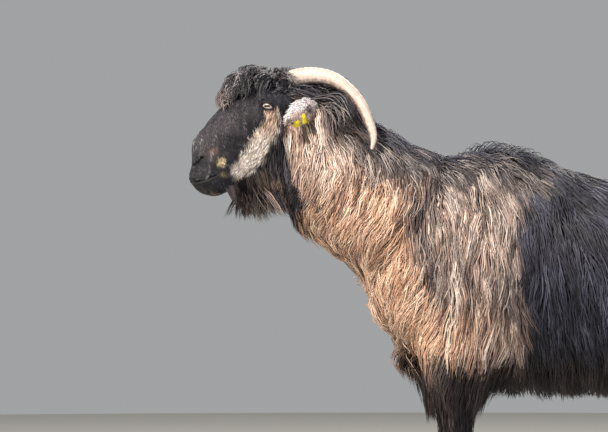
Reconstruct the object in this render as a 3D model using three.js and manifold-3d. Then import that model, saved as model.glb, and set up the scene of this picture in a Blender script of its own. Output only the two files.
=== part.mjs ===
// A long-haired domestic billy goat, standing square and looking straight ahead, at life size.
// The goat faces -X, its left side is towards -Y and it stands on the plane z = 0. Sizes are millimetres.
// Lengthwise places are given from the withers, and the whole goat is centred on its box at the end.
import * as THREE from "three";
import { mergeVertices } from "three/addons/utils/BufferGeometryUtils.js";
import Module from "manifold-3d";

const wasm = await Module();
wasm.setup();

// ---- Driving dimensions ---------------------------------------------------------------------------------
const GAP = 0.3; // clearance between touching nodes
const FAR = 3000; // half-extent of the blocks that cut one node from the next
const CORE = 0.42; // share of the coat's depth that the bodies hold under the locks
const SEED = 11;

// Each mass is drawn along a straight axis. A station is [place on the axis, upper reach, lower reach,
// half width, share of the height at which it is widest, distance of its middle from the goat's middle].
const TRUNK = {
  origin: [0, 0, 0],
  along: [1, 0, 0],
  up: [0, 0, 1],
  stations: [
    [-196, 590, 530, 26, 0.5, 0],
    [-184, 632, 490, 62, 0.5, 0],
    [-150, 680, 452, 98, 0.48, 0],
    [-100, 722, 422, 118, 0.46, 0],
    [-40, 758, 404, 127, 0.44, 0],
    [20, 775, 396, 131, 0.42, 0],
    [90, 757, 391, 142, 0.43, 0],
    [165, 732, 387, 153, 0.45, 0],
    [250, 711, 384, 160, 0.46, 0],
    [340, 704, 392, 157, 0.48, 0],
    [430, 711, 424, 143, 0.5, 0],
    [500, 715, 472, 126, 0.5, 0],
    [560, 703, 512, 110, 0.5, 0],
    [606, 672, 552, 84, 0.5, 0],
    [628, 640, 584, 44, 0.5, 0],
  ],
  coat: 24,
};
const NECK = {
  origin: [-330, 0, 800],
  along: [0.814, 0, -0.581],
  up: [0.581, 0, 0.814],
  stations: [
    [-62, 44, -46, 34, 0.5, 0],
    [-40, 62, -62, 50, 0.5, 0],
    [0, 74, -74, 58, 0.5, 0],
    [60, 84, -86, 62, 0.48, 0],
    [120, 91, -95, 70, 0.47, 0],
    [180, 102, -104, 84, 0.46, 0],
    [235, 118, -110, 102, 0.45, 0],
    [280, 110, -96, 96, 0.45, 0],
  ],
  coat: 27,
};
const HEAD_PITCH = THREE.MathUtils.degToRad(38); // how far the head's axis points below level
const HEAD = {
  origin: [-400, 0, 830],
  along: [-Math.cos(HEAD_PITCH), 0, -Math.sin(HEAD_PITCH)],
  up: [-Math.sin(HEAD_PITCH), 0, Math.cos(HEAD_PITCH)],
  stations: [
    [-92, 14, -30, 30, 0.6, 0],
    [-84, 34, -50, 44, 0.62, 0],
    [-62, 62, -68, 55, 0.64, 0],
    [-36, 75, -82, 61, 0.65, 0],
    [-8, 77, -90, 60, 0.66, 0],
    [22, 74, -89, 51, 0.62, 0],
    [50, 71, -78, 43, 0.56, 0],
    [76, 65, -67, 36, 0.48, 0],
    [108, 58, -56, 33, 0.38, 0],
    [120, 47, -52, 33, 0.38, 0],
    [134, 29, -48, 32, 0.42, 0],
    [150, 14.5, -36, 24, 0.46, 0],
    [157, 8, -25, 15, 0.5, 0],
    [160, 0, -15, 7, 0.5, 0],
  ],
  coat: 4,
};
const FORELEG = {
  origin: [0, 0, 0],
  along: [0, 0, 1],
  up: [1, 0, 0],
  stations: [
    [38, -36, -74, 17, 0.5, 75],
    [50, -34, -75, 19, 0.5, 75],
    [70, -31, -66, 16, 0.5, 75],
    [94, -23, -61, 17, 0.5, 75],
    [122, -27, -56, 13, 0.5, 75],
    [170, -28, -57, 13, 0.5, 75],
    [210, -22, -63, 17, 0.5, 75],
    [236, -18, -69, 21, 0.5, 75],
    [258, -20, -67, 20, 0.5, 76],
    [292, -20, -68, 21, 0.5, 76],
    [342, -12, -76, 25, 0.5, 78],
    [390, 6, -86, 31, 0.5, 80],
    [428, 20, -100, 36, 0.5, 79],
    [466, 15, -118, 36, 0.5, 77],
    [505, 0, -126, 31, 0.5, 73],
    [545, -14, -124, 25, 0.5, 69],
  ],
  top: 505,
  joint: 236,
  coat: 3,
};
const HINDLEG = {
  origin: [0, 0, 0],
  along: [0, 0, 1],
  up: [1, 0, 0],
  stations: [
    [38, 571, 533, 17, 0.5, 84],
    [50, 574, 532, 19, 0.5, 84],
    [70, 577, 540, 16, 0.5, 84],
    [96, 586, 546, 17, 0.5, 84],
    [130, 582, 551, 13, 0.5, 84],
    [182, 585, 553, 13, 0.5, 84],
    [234, 597, 556, 17, 0.5, 84],
    [262, 612, 556, 20, 0.5, 84],
    [290, 620, 544, 21, 0.5, 83],
    [322, 608, 512, 25, 0.5, 82],
    [360, 602, 474, 32, 0.5, 80],
    [410, 604, 436, 42, 0.5, 78],
    [460, 616, 420, 52, 0.5, 74],
    [520, 628, 424, 60, 0.5, 70],
    [580, 628, 440, 58, 0.5, 66],
    [634, 608, 476, 42, 0.5, 60],
  ],
  top: 560,
  joint: 276,
  coat: 4,
};
const TAIL = {
  origin: [612, 0, 676],
  along: [0.5, 0, -0.866],
  up: [0.866, 0, 0.5],
  stations: [
    [-18, 14, -14, 16, 0.5, 0],
    [10, 17, -15, 19, 0.5, 0],
    [50, 14, -12, 17, 0.5, 0],
    [90, 9, -9, 12, 0.5, 0],
    [112, 4, -4, 5, 0.5, 0],
  ],
  coat: 14,
};
// How far each foot is set ahead (-) or back (+) of square, and the height where the shift begins.
const STRIDE = { fore_left: -18, fore_right: 14, hind_left: 22, hind_right: -14 };
const STRIDE_FROM = 430;

const HOOF = { height: 46, claw: 19, apart: 4.5, length: 58, slope: 17, top_length: 40 };
const DEW_CLAW = { height: 82, apart: 18, size: [5, 5, 9] };
const EYE = { at: [-383, 53, 868], radius: 14.5 };
const LID = { ring: 12.8, thick: 3.3, out: 8.5, squash: 0.76 };
const NOSTRIL = { at: [-512, 24, 771], size: [9.5, 6, 3.4], tilt: -0.6 };
// The line between the lips, as [place on the head's axis, height over it], how wide its groove is and how
// far the middle of the groove lies out from the bare head. It sags between its ends.
const MOUTH = { corner: [114, -16], front: [159, 1], sag: 3.5, wide: 5, out: 2.5 };
const HORN = {
  // [x, y, z, half height, half width] along the centre line of one horn
  line: [
    [-366, 25, 896, 18, 13],
    [-344, 30, 912, 19, 13.5],
    [-300, 42, 918, 18.5, 13.5],
    [-258, 57, 899, 16, 12],
    [-226, 71, 863, 12.5, 10],
    [-206, 82, 825, 9, 7.5],
    [-198, 89, 790, 3, 2.6],
  ],
  ribs: 14,
  rib_depth: 0.8,
};
const EAR = { root: [-298, 56, 875], tip: [-345, 116, 848], width: 42, thick: 3.2, cup: 9 };
// Each tag's place along the ear and how far it reaches from the rim, outwards (-) and inwards.
const TAG = {
  width: 11,
  wall: 1.7,
  places: [
    { along: 0.62, from: -3, to: 16 },
    { along: 0.82, from: -8, to: 6 },
  ],
};

// Planes that part the nodes.
const CUTS = {
  head_neck: { at: [-300, 0, 790], normal: [0.937, 0, -0.349] },
  neck_shoulders: { at: [-130, 0, 675], normal: [0.854, 0, -0.52] },
  shoulders_barrel: { at: [95, 0, 600], normal: [1, 0, 0] },
  barrel_rump: { at: [415, 0, 600], normal: [1, 0, 0] },
};
const LEG_SIDES = 10;
const COLOUR = {
  black: 0x1d1c20,
  brown: 0x4a3629,
  tan: 0xa8703f,
  grey: 0x8d8a8c,
  horn: 0xd8c8a8,
  hoof: 0x2a2522,
  eye: 0xc9b27a,
  tag: 0xe8d51c,
};

// Locks: how long, wide and thick they are, where on their mass the rows start and end, how far round it
// they go from its upper edge (in radians), and how far apart rows and locks stand.
const TRUNK_HAIR = {
  length: 170,
  width: 78,
  thick: 14,
  along: [-160, 596],
  around: [0.06, 2.6],
  apart: [86, 98],
};
const NECK_HAIR = {
  length: 138,
  width: 70,
  thick: 14,
  along: [-38, 222],
  around: [0.06, 3.0],
  apart: [74, 92],
};
const FORELEG_HAIR = {
  length: 85,
  width: 42,
  thick: 12,
  along: [345, 410],
  around: [0.15, 1.5],
  apart: [65, 52],
};
const HINDLEG_HAIR = {
  length: 95,
  width: 56,
  thick: 13,
  along: [392, 478],
  around: [0.15, 1.7],
  apart: [86, 70],
};
const FORELOCK = {
  step: 0.42,
  width: 32,
  thick: 15,
  over: 17,
  rows: [
    { at: -70, reach: 0.63, length: 64 },
    { at: -42, reach: 0.84, length: 68 },
    { at: -12, reach: 0.63, length: 56 },
  ],
};
const BEARD = {
  width: 30,
  thick: 13,
  rows: [
    { at: 84, reach: 0.5, length: 58 },
    { at: 54, reach: 0.75, length: 72 },
    { at: 18, reach: 0.85, length: 80 },
  ],
};
// Roots [place on the head, turn from its upper edge].
const CHEEK = {
  length: 52,
  width: 30,
  thick: 10,
  places: [
    [-44, 1.95],
    [-14, 2.2],
    [-34, 2.55],
    [0, 2.6],
  ],
};
const TAIL_HAIR = {
  spread: 4.2, // how far round the tail's rear and sides the locks go, in radians
  width: 30,
  thick: 13,
  rows: [
    { at: 26, count: 2, length: 76 },
    { at: 60, count: 2, length: 82 },
    { at: 94, count: 3, length: 62 },
  ],
};

// ---- Small helpers --------------------------------------------------------------------------------------
const v3 = (a) => new THREE.Vector3(...a);

// A smooth line through (xs, ys) that never overshoots them.
function smoothLine(xs, ys) {
  const n = xs.length;
  const slope = [];
  for (let i = 0; i < n - 1; i++) slope.push((ys[i + 1] - ys[i]) / (xs[i + 1] - xs[i]));
  const m = slope.map((s, i) => {
    if (i === 0) return s;
    const before = slope[i - 1];
    return before * s <= 0 ? 0 : (2 * before * s) / (before + s);
  });
  m.push(slope[n - 2]);
  return (x) => {
    if (x <= xs[0]) return ys[0];
    if (x >= xs[n - 1]) return ys[n - 1];
    let i = 0;
    while (x > xs[i + 1]) i++;
    const h = xs[i + 1] - xs[i];
    const t = (x - xs[i]) / h;
    const a = ys[i] * (1 + 2 * t) * (1 - t) ** 2 + ys[i + 1] * t * t * (3 - 2 * t);
    return a + h * (m[i] * t * (1 - t) ** 2 - m[i + 1] * t * t * (1 - t));
  };
}

// A part of the body drawn along an axis from its stations.
class Mass {
  constructor({ origin, along, up, stations, coat, side = 1, sweep = () => 0 }) {
    this.origin = v3(origin);
    this.along = v3(along).normalize();
    this.up = v3(up).normalize();
    this.side = side;
    this.sweep = sweep;
    this.coat = coat;
    this.places = stations.map((s) => s[0]);
    this.column = [1, 2, 3, 4, 5].map((k) =>
      smoothLine(
        this.places,
        stations.map((s) => s[k]),
      ),
    );
  }
  section(s) {
    const [top, bottom, half, share, across] = this.column.map((f) => f(s));
    const shift = this.sweep(s);
    const widest = bottom + share * (top - bottom) + shift;
    return { top: top + shift, bottom: bottom + shift, half, widest, across };
  }
  // The surface point at place s and angle a from the upper edge, grown outwards by grow.
  point(s, a, grow = 0) {
    const q = this.section(s);
    const c = Math.cos(a);
    const reach = (c > 0 ? q.top - q.widest : q.widest - q.bottom) + grow;
    const p = this.origin.clone().addScaledVector(this.along, s);
    p.addScaledVector(this.up, q.widest + reach * c);
    p.y += this.side * q.across + (q.half + grow) * Math.sin(a);
    return p;
  }
  // The point at place s on the axis, height up over it and y to the side.
  place(s, up, y) {
    return this.origin.clone().addScaledVector(this.along, s).addScaledVector(this.up, up).setY(y);
  }
  // How far the surface lies to the side at place s and height up.
  reach(s, up) {
    const q = this.section(s);
    const t = up - q.widest;
    const share = t / (t > 0 ? q.top - q.widest : q.widest - q.bottom);
    return q.half * Math.sqrt(Math.max(0, 1 - share * share));
  }
  // How far p is outside the surface, roughly, and below zero inside it.
  height(p) {
    const d = p.clone().sub(this.origin);
    const s = d.dot(this.along);
    const first = this.places[0];
    const last = this.places[this.places.length - 1];
    const held = Math.min(Math.max(s, first), last);
    const q = this.section(held);
    const t = d.dot(this.up) - q.widest;
    const y = p.y - this.side * q.across;
    const r = Math.hypot(y / q.half, t / (t > 0 ? q.top - q.widest : q.widest - q.bottom));
    const flat = r > 1e-6 ? (1 - 1 / r) * Math.hypot(y, t) : -q.half;
    return s === held ? flat : Math.hypot(Math.max(flat, 0), s - held);
  }
}

// Moves every point of a cylinder: place(u, angle, r) gets the share of height, the turn and the radius.
function reshape(cylinder, place) {
  const at = cylinder.attributes.position;
  for (let i = 0; i < at.count; i++) {
    const [x, y, z] = [at.getX(i), at.getY(i), at.getZ(i)];
    const p = place(y + 0.5, Math.atan2(x, z), Math.hypot(x, z));
    at.setXYZ(i, p.x, p.y, p.z);
  }
  return cylinder;
}

// A closed geometry as a manifold-3d solid, turned the right way out.
function solid(geometry) {
  const bare = new THREE.BufferGeometry().setAttribute("position", geometry.getAttribute("position"));
  bare.setIndex(geometry.index);
  const merged = mergeVertices(bare, 1e-4);
  const make = (flip) => {
    const triVerts = new Uint32Array(merged.index.array);
    if (flip) triVerts.reverse();
    const vertProperties = merged.attributes.position.array;
    return new wasm.Manifold(new wasm.Mesh({ numProp: 3, vertProperties, triVerts }));
  };
  const made = make(false);
  return made.volume() < 0 ? make(true) : made;
}

// The rings of a mass: every station, with the stretches between them cut into `between` steps.
function ringPlaces(mass, between) {
  const out = [];
  mass.places.forEach((s, i) => {
    const before = i ? mass.places[i - 1] : s;
    const first = i ? 1 : between;
    for (let k = first; k <= between; k++) out.push(before + ((s - before) * k) / between);
  });
  return out;
}

function massSolid(mass, { sides, between = 1, grow = 0, relief = () => 0 }) {
  const rings = ringPlaces(mass, between);
  const last = rings.length - 1;
  return solid(
    reshape(new THREE.CylinderGeometry(1, 1, 1, sides, last), (u, angle, r) => {
      const i = Math.round(u * last);
      const s = rings[i] + (i === last ? grow : 0) - (i === 0 ? grow : 0);
      const rim = mass.point(s, angle, grow);
      if (r < 0.5) return mass.point(s, 0, grow).add(mass.point(s, Math.PI, grow)).multiplyScalar(0.5);
      const out = relief(rim);
      return out ? mass.point(s, angle, grow + out) : rim;
    }),
  );
}

// A block that fills space on the far side of a plane: point on it, normal pointing into the block.
function beyond(point, normal) {
  const block = new THREE.BoxGeometry(2 * FAR, 2 * FAR, 2 * FAR);
  const turn = new THREE.Quaternion().setFromUnitVectors(new THREE.Vector3(0, 0, 1), normal);
  block.translate(0, 0, FAR).applyQuaternion(turn).translate(point.x, point.y, point.z);
  return solid(block);
}

// The largest closed surface of a solid.
function largest(made) {
  return made.decompose().reduce((best, piece) => (piece.volume() > best.volume() ? piece : best));
}

const joined = (solids) => solids.reduce((sum, s) => sum.add(s));

// ---- Head -----------------------------------------------------------------------------------------------
// Swellings and hollows of the bare head: [x, distance from the middle, z, reach, rise].
const HEAD_RELIEF = [
  [-389, 56, 891, 22, 7], // brow over the eye
  [-360, 58, 872, 19, 5], // rear rim of the orbit
  [-404, 54, 846, 22, 4], // cheekbone
  [-415, 46, 862, 15, -4], // hollow in front of the eye
  [-383, 64, 868, 13, -7], // opening of the orbit
  [-364, 50, 808, 34, 5], // chewing muscle
  [-510, 20, 780, 13, 4], // wing of the nostril
  [-504, 24, 748, 14, 3], // upper lip
  [-490, 14, 717, 16, 2], // chin
  [-418, 0, 910, 36, 12], // core of the forelock
];
function headRelief(p) {
  return HEAD_RELIEF.reduce((sum, [x, y, z, reach, rise]) => {
    const away = (p.x - x) ** 2 + (Math.abs(p.y) - y) ** 2 + (p.z - z) ** 2;
    return sum + rise * Math.exp(-away / reach ** 2);
  }, 0);
}

// A ball squashed to half sizes `size`, tipped by `tilt` about the cross axis.
function ball(at, size, { tilt = 0, around = 12, rings = 8 } = {}) {
  const g = new THREE.SphereGeometry(1, around, rings).scale(...size).rotateY(tilt);
  return solid(g.translate(...at));
}

const eyeBall = (side, grow = 0) => {
  const [x, y, z] = EYE.at;
  const r = EYE.radius + grow;
  return ball([x, side * y, z], [r, r, r], { around: 12, rings: 8 });
};

// A closed loop of lid round the opening of the eye.
function lids(side) {
  const [x, y, z] = EYE.at;
  const ring = new THREE.TorusGeometry(LID.ring, LID.thick, 5, 12).scale(1, LID.squash, 1);
  return solid(ring.rotateX(Math.PI / 2).rotateY(-0.2).translate(x, side * (y + LID.out), z));
}

// The groove between the lips, from one corner round the front to the other.
function mouthGroove() {
  const side = [0, 0.3, 0.6, 0.85, 0.97].map((u) => {
    const s = mix(MOUTH.corner[0], MOUTH.front[0], u);
    const up = mix(MOUTH.corner[1], MOUTH.front[1], u) - MOUTH.sag * Math.sin(Math.PI * u);
    return head.place(s, up, head.reach(s, up) + MOUTH.out);
  });
  const front = head.place(MOUTH.front[0] + MOUTH.out, MOUTH.front[1], 0);
  const other = side.map((p) => p.clone().setY(-p.y)).reverse();
  const round = new THREE.Shape();
  round.absarc(0, 0, MOUTH.wide / 2, 0, 2 * Math.PI);
  const extrudePath = new THREE.CatmullRomCurve3([...side, front, ...other]);
  const sweep = { curveSegments: 2, steps: 12, bevelEnabled: false, extrudePath };
  return solid(new THREE.ExtrudeGeometry(round, sweep));
}

function nostril(side) {
  const [x, y, z] = NOSTRIL.at;
  return ball([x, side * y, z], NOSTRIL.size, { tilt: NOSTRIL.tilt, around: 8, rings: 6 });
}

// ---- Horns, ears and tags -------------------------------------------------------------------------------
function horn(side, grow = 0) {
  const line = new THREE.CatmullRomCurve3(HORN.line.map(([x, y, z]) => new THREE.Vector3(x, side * y, z)));
  const shares = HORN.line.map((_, i) => i / (HORN.line.length - 1));
  const tall = smoothLine(shares, HORN.line.map((p) => p[3]));
  const wide = smoothLine(shares, HORN.line.map((p) => p[4]));
  return solid(
    reshape(new THREE.CylinderGeometry(1, 1, 1, 10, HORN.ribs), (u, angle, r) => {
      const along = line.getTangent(u);
      const across = new THREE.Vector3(0, 1, 0).addScaledVector(along, -along.y).normalize();
      const over = across.clone().cross(along);
      const rib = HORN.rib_depth * Math.cos(Math.round(u * HORN.ribs) * Math.PI) * (1 - u);
      return line
        .getPoint(u)
        .addScaledVector(along, (2 * u - 1) * grow)
        .addScaledVector(over, r * (tall(u) + rib + grow) * Math.cos(angle))
        .addScaledVector(across, r * (wide(u) + rib + grow) * Math.sin(angle));
    }),
  );
}

// Where a point of the ear is: u from root to tip, share across from -1 to 1, out from its middle sheet,
// and further along it by `more`.
function earPlace(side, u, share, out, more = 0) {
  const root = v3([EAR.root[0], side * EAR.root[1], EAR.root[2]]);
  const tip = v3([EAR.tip[0], side * EAR.tip[1], EAR.tip[2]]);
  const length = tip.clone().sub(root);
  const face = new THREE.Vector3(0.25, side, 0.35);
  const across = length.clone().cross(face).normalize().multiplyScalar(-side);
  const normal = across.clone().cross(length).normalize().multiplyScalar(-side);
  const belly = 0.42 + 0.58 * Math.sin(Math.PI * (0.2 + 0.75 * u));
  const half = (EAR.width / 2) * belly * Math.sqrt(Math.max(0.03, 1 - u ** 5));
  const droop = EAR.cup * (share * share - 0.35) + 5 * u * u;
  return root
    .addScaledVector(length, u + more / length.length())
    .addScaledVector(across, half * share)
    .addScaledVector(normal, out - droop);
}

function ear(side, grow = 0, { axis = "x", by = 0 } = {}) {
  return solid(
    reshape(new THREE.CylinderGeometry(1, 1, 1, 10, 7), (u, angle, r) => {
      const thick = 0.7 * EAR.thick * (1 - 0.55 * u);
      const share = r * Math.sin(angle) * (1 + grow / 20);
      const p = earPlace(side, u, share, r * Math.cos(angle) * (thick + grow), (2 * u - 1) * grow);
      p[axis] += by;
      return p;
    }),
  );
}

// A plastic clip folded round the lower rim of the ear.
function earTag(side, { along: u, from, to }) {
  const rim = earPlace(side, u, -1, 0);
  const inner = earPlace(side, u, -0.2, 0);
  const next = earPlace(side, u + 0.1, -1, 0);
  const reach = inner.clone().sub(rim).normalize();
  const along = next.sub(rim).normalize();
  const out = along.clone().cross(reach).normalize();
  const face = reach.clone().cross(out).normalize();
  const frame = new THREE.Matrix4().makeBasis(face, reach, out);
  const plate = new THREE.BoxGeometry(TAG.width, to - from, 2 * (TAG.wall + EAR.thick));
  plate.translate(0, (from + to) / 2, 0).applyMatrix4(frame).translate(rim.x, rim.y, rim.z);
  const shifts = ["y", "z"].flatMap((axis) => [-1, 1].map((way) => ({ axis, by: way * GAP })));
  const slotted = solid(plate).subtract(ear(side, 1.5 * GAP));
  return largest(shifts.reduce((left, shift) => left.subtract(ear(side, 0.1, shift)), slotted));
}

// ---- Legs -----------------------------------------------------------------------------------------------
function legMass(spec, side, stride) {
  return new Mass({ ...spec, side, sweep: (z) => (stride * Math.max(0, STRIDE_FROM - z)) / STRIDE_FROM });
}

// The two small claws behind the fetlock.
function dewClaws(leg, side) {
  const { apart, size, height } = DEW_CLAW;
  const q = leg.section(height);
  const place = (y) => [q.top + 3, side * q.across + y, height];
  return [-apart / 2, apart / 2].map((y) => ball(place(y), size, { tilt: 0.3, around: 6, rings: 5 }));
}

// One claw of a hoof: which is -1 for the inner claw and 1 for the outer one.
function claw(leg, side, which) {
  const q = leg.section(HOOF.height);
  const heel = q.top - 2;
  const inner = HOOF.apart / 2;
  const wide = q.half - inner;
  return solid(
    reshape(new THREE.CylinderGeometry(1, 1, 1, 10, 2), (u, angle, r) => {
      const long = HOOF.length + (HOOF.top_length - HOOF.length) * u;
      const front = heel + HOOF.slope * 0.3 * (u - 1) - long;
      const middle = front + long / 2;
      const c = Math.cos(angle);
      const x = middle + (r * c * long) / 2;
      const toe = 1 - 0.35 * Math.max(0, -c) ** 2;
      const bulge = (0.5 + 0.5 * Math.sin(angle)) * (wide + 2.5 * (1 - u)) * toe;
      const y = inner + (r < 0.5 ? wide / 2 : bulge);
      return new THREE.Vector3(x, side * q.across + which * y, HOOF.height * u);
    }),
  );
}

// ---- Coat -----------------------------------------------------------------------------------------------
const DOWN = new THREE.Vector3(0, 0, -1);
const mix = (a, b, t) => a + (b - a) * t;
const ease = (from, to, x) => THREE.MathUtils.clamp((x - from) / (to - from), 0, 1);
const draw = () => THREE.MathUtils.seededRandom();
const vary = (amount) => 1 + amount * (2 * draw() - 1);

// A coat lies on one or more masses, of which each point follows the nearest.
class Coat {
  constructor(...masses) {
    this.masses = masses;
  }
  // How far p is over the bodies that the coat grows from, and below zero inside them.
  height(p) {
    return Math.min(...this.masses.map((mass) => mass.height(p) - CORE * mass.coat));
  }
  // The way out from those bodies at p.
  out(p) {
    const step = 2;
    const rise = (axis) => {
      const ahead = p.clone();
      const back = p.clone();
      ahead[axis] += step;
      back[axis] -= step;
      return this.height(ahead) - this.height(back);
    };
    return new THREE.Vector3(rise("x"), rise("y"), rise("z")).normalize();
  }
}

// The run of one lock from its sunk root to its tip. It starts along `way`, hangs down more and more by
// `droop`, and is held at `over` above the bodies, from below wholly and from above by the share `hug`.
function lockRun(coat, root, shape) {
  const { way, length, width, thick, over, droop, hug, sink = 9, curl = 0.5 } = shape;
  const out = coat.out(root);
  const heading = way.clone().addScaledVector(out, -way.dot(out)).normalize();
  const sideways = heading.clone().cross(out);
  const bend = curl * (2 * draw() - 1);
  const line = [root.clone().addScaledVector(out, -sink)];
  const p = root.clone();
  for (const [share, turn] of [[0.8, 0.6], [1.15, 0.3], [1, -1]]) {
    heading.lerp(DOWN, droop * share).addScaledVector(sideways, bend * turn).normalize();
    p.addScaledVector(heading, length / 3);
    const short = over * share - coat.height(p);
    p.addScaledVector(coat.out(p), short > 0 ? short : hug * short);
    line.push(p.clone());
  }
  return { line, out, width, thick };
}

// A flat lock of three sides, ridged along its outer face, that tapers to a point.
const LOCK_PROFILE = [0.4, 0.58, 0.44, 0];
const SHARP = 7; // how many times further a grown lock reaches at its edges and tip than at its faces
function lockSolid({ line, out, width, thick }, grow = 0) {
  const last = line.length - 1;
  return solid(
    reshape(new THREE.CylinderGeometry(0, 1, 1, 3, last), (u, angle, r) => {
      const i = Math.round(u * last);
      const along = line[Math.min(i + 1, last)].clone().sub(line[Math.max(i - 1, 0)]).normalize();
      const wide = along.clone().cross(out).normalize();
      const face = wide.clone().cross(along);
      const rim = r < 1e-4 ? 0 : 1;
      const further = i === last ? SHARP * grow : i === 0 ? -grow : 0;
      const reach = Math.sin(angle) * (LOCK_PROFILE[i] * width + SHARP * grow);
      const rise = Math.cos(angle) * LOCK_PROFILE[i] * thick + (Math.cos(angle) > 0 ? 2 : -1) * grow;
      return line[i]
        .clone()
        .addScaledVector(along, further)
        .addScaledVector(wide, rim * reach)
        .addScaledVector(face, rim * rise);
    }),
  );
}

// Roots in staggered rows on the coat's own bodies: [from, to] along the mass and from its upper edge round
// to its lower one in radians, rows `apart[0]` from one another and roots `apart[1]` along a row.
function rootsOn(mass, coat, { along, around, apart }) {
  const roots = [];
  const rows = Math.round((along[1] - along[0]) / apart[0]);
  const grow = CORE * mass.coat;
  for (let row = 0; row <= rows; row++) {
    for (const side of [-1, 1]) {
      let a = around[0];
      let gap = row % 2 ? apart[1] / 2 : 0;
      while (a < around[1]) {
        const s = mix(along[0], along[1], (row + 0.6 * (draw() - 0.5)) / rows);
        const here = mass.point(s, side * a, grow);
        const speed = mass.point(s, side * (a + 0.02), grow).distanceTo(here) / 0.02; // mm for each radian
        a += gap / Math.max(speed, 20);
        gap = apart[1] * vary(0.12);
        const root = mass.point(s, side * a, grow);
        if (a < around[1] && coat.height(root) > -3) roots.push(root);
      }
    }
  }
  return roots;
}

// The hair of the trunk and neck falls to either side from the spine, hangs down the flanks with a slight
// lean to the rear, sweeps forwards down the neck to the throat, and hangs free below the belly.
function bodyWay(p, out) {
  const onNeck = ease(-40, -190, p.x);
  const onRump = ease(430, 620, p.x);
  const crown = Math.max(0, out.z) ** 2;
  const back = mix(0.1, -0.42, onNeck) + 0.3 * onRump + 0.35 * crown;
  return new THREE.Vector3(back, 1.1 * crown * Math.sign(p.y || 1), -1);
}

function bodyLocks(mass, coat, { length, width, thick, ...spread }) {
  return rootsOn(mass, coat, spread).map((root) => {
    const out = coat.out(root);
    const crown = Math.max(0, out.z);
    const free = Math.max(ease(-0.1, -0.75, out.z), ease(520, 440, root.z));
    return lockRun(coat, root, {
      way: bodyWay(root, out),
      length: length * (1 - 0.25 * crown) * vary(0.16),
      width: width * vary(0.18),
      thick,
      over: 10 + 8 * free,
      droop: 0.12 + 0.6 * free,
      hug: 1 - 0.85 * free,
    });
  });
}

// The forelock, from between the horns forwards and down over the forehead.
function forelock(coat) {
  const made = [];
  for (const { at, reach, length } of FORELOCK.rows) {
    for (let a = -reach; a <= reach + 0.01; a += FORELOCK.step) {
      const root = head.point(at + 10 * (draw() - 0.5), a * vary(0.1), 0);
      const way = head.along.clone().add(new THREE.Vector3(0, 0.75 * Math.sin(a), 0));
      const shape = { way, length: length * vary(0.14), width: FORELOCK.width, thick: FORELOCK.thick };
      made.push(lockRun(coat, root, { ...shape, over: FORELOCK.over * vary(0.2), droop: 0.12, hug: 0.6 }));
    }
  }
  return made;
}

// The beard, and the fringe that goes on from it under the jaw.
function beard(coat) {
  const made = [];
  for (const { at, reach, length } of BEARD.rows) {
    for (let a = -reach; a <= reach + 0.01; a += (2 * reach) / 3) {
      const root = head.point(at + 8 * (draw() - 0.5), Math.PI + a, 0);
      const way = new THREE.Vector3(0.5, -0.2 * Math.sin(a), -0.5);
      const shape = { way, length: length * (1 - 0.3 * Math.abs(a)) * vary(0.12), width: BEARD.width };
      const hang = { thick: BEARD.thick, over: 9, droop: 0.9, hug: 0, curl: 0.2 };
      made.push(lockRun(coat, root, { ...shape, ...hang }));
    }
  }
  return made;
}

// Longer hair at the back of the cheek.
function cheekLocks(coat) {
  const made = [];
  for (const side of [-1, 1]) {
    for (const [s, a] of CHEEK.places) {
      const root = head.point(s, side * a, 0);
      const way = new THREE.Vector3(0.5, 0, -1);
      const shape = { way, length: CHEEK.length * vary(0.15), width: CHEEK.width, thick: CHEEK.thick };
      made.push(lockRun(coat, root, { ...shape, over: 7, droop: 0.35, hug: 0.4 }));
    }
  }
  return made;
}

// Rings of hair down the tail, longest in the middle.
function tailLocks(coat) {
  const made = [];
  for (const { at, count, length } of TAIL_HAIR.rows) {
    for (let k = 0; k < count; k++) {
      const turn = TAIL_HAIR.spread * ((k + 0.5) / count - 0.5);
      const root = tail.point(at, turn * vary(0.1), 0);
      const way = tail.along.clone().addScaledVector(coat.out(root), 0.3);
      const shape = { way, length: length * vary(0.12), width: TAIL_HAIR.width, thick: TAIL_HAIR.thick };
      made.push(lockRun(coat, root, { ...shape, over: 7, droop: 0.3, hug: 0.3, sink: 7, curl: 0.25 }));
    }
  }
  return made;
}

// Hair over the upper leg and down its rear edge.
function legLocks(mass, coat, { length, width, thick, ...spread }) {
  return rootsOn(mass, coat, spread).map((root) =>
    lockRun(coat, root, {
      way: new THREE.Vector3(0.15, 0, -1),
      length: length * vary(0.18),
      width: width * vary(0.15),
      thick,
      over: 6,
      droop: 0.3,
      hug: 0.8,
      sink: 8,
    }),
  );
}

// ---- The whole goat -------------------------------------------------------------------------------------
const trunk = new Mass(TRUNK);
const neck = new Mass(NECK);
const head = new Mass(HEAD);
const tail = new Mass(TAIL);
const LEGS = {
  fore_left: { spec: FORELEG, hair: FORELEG_HAIR, side: -1 },
  fore_right: { spec: FORELEG, hair: FORELEG_HAIR, side: 1 },
  hind_left: { spec: HINDLEG, hair: HINDLEG_HAIR, side: -1 },
  hind_right: { spec: HINDLEG, hair: HINDLEG_HAIR, side: 1 },
};
const SIDES = { left: -1, right: 1 };

// Splits a solid at a plane, leaving the gap, into what lies before it and what lies beyond it.
function parted(made, { at, normal }) {
  const way = v3(normal).normalize();
  const half = way.clone().multiplyScalar(GAP / 2);
  const ahead = beyond(v3(at).sub(half), way);
  const behind = beyond(v3(at).add(half), way.clone().negate());
  return [made.subtract(ahead), made.subtract(behind)];
}

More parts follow.
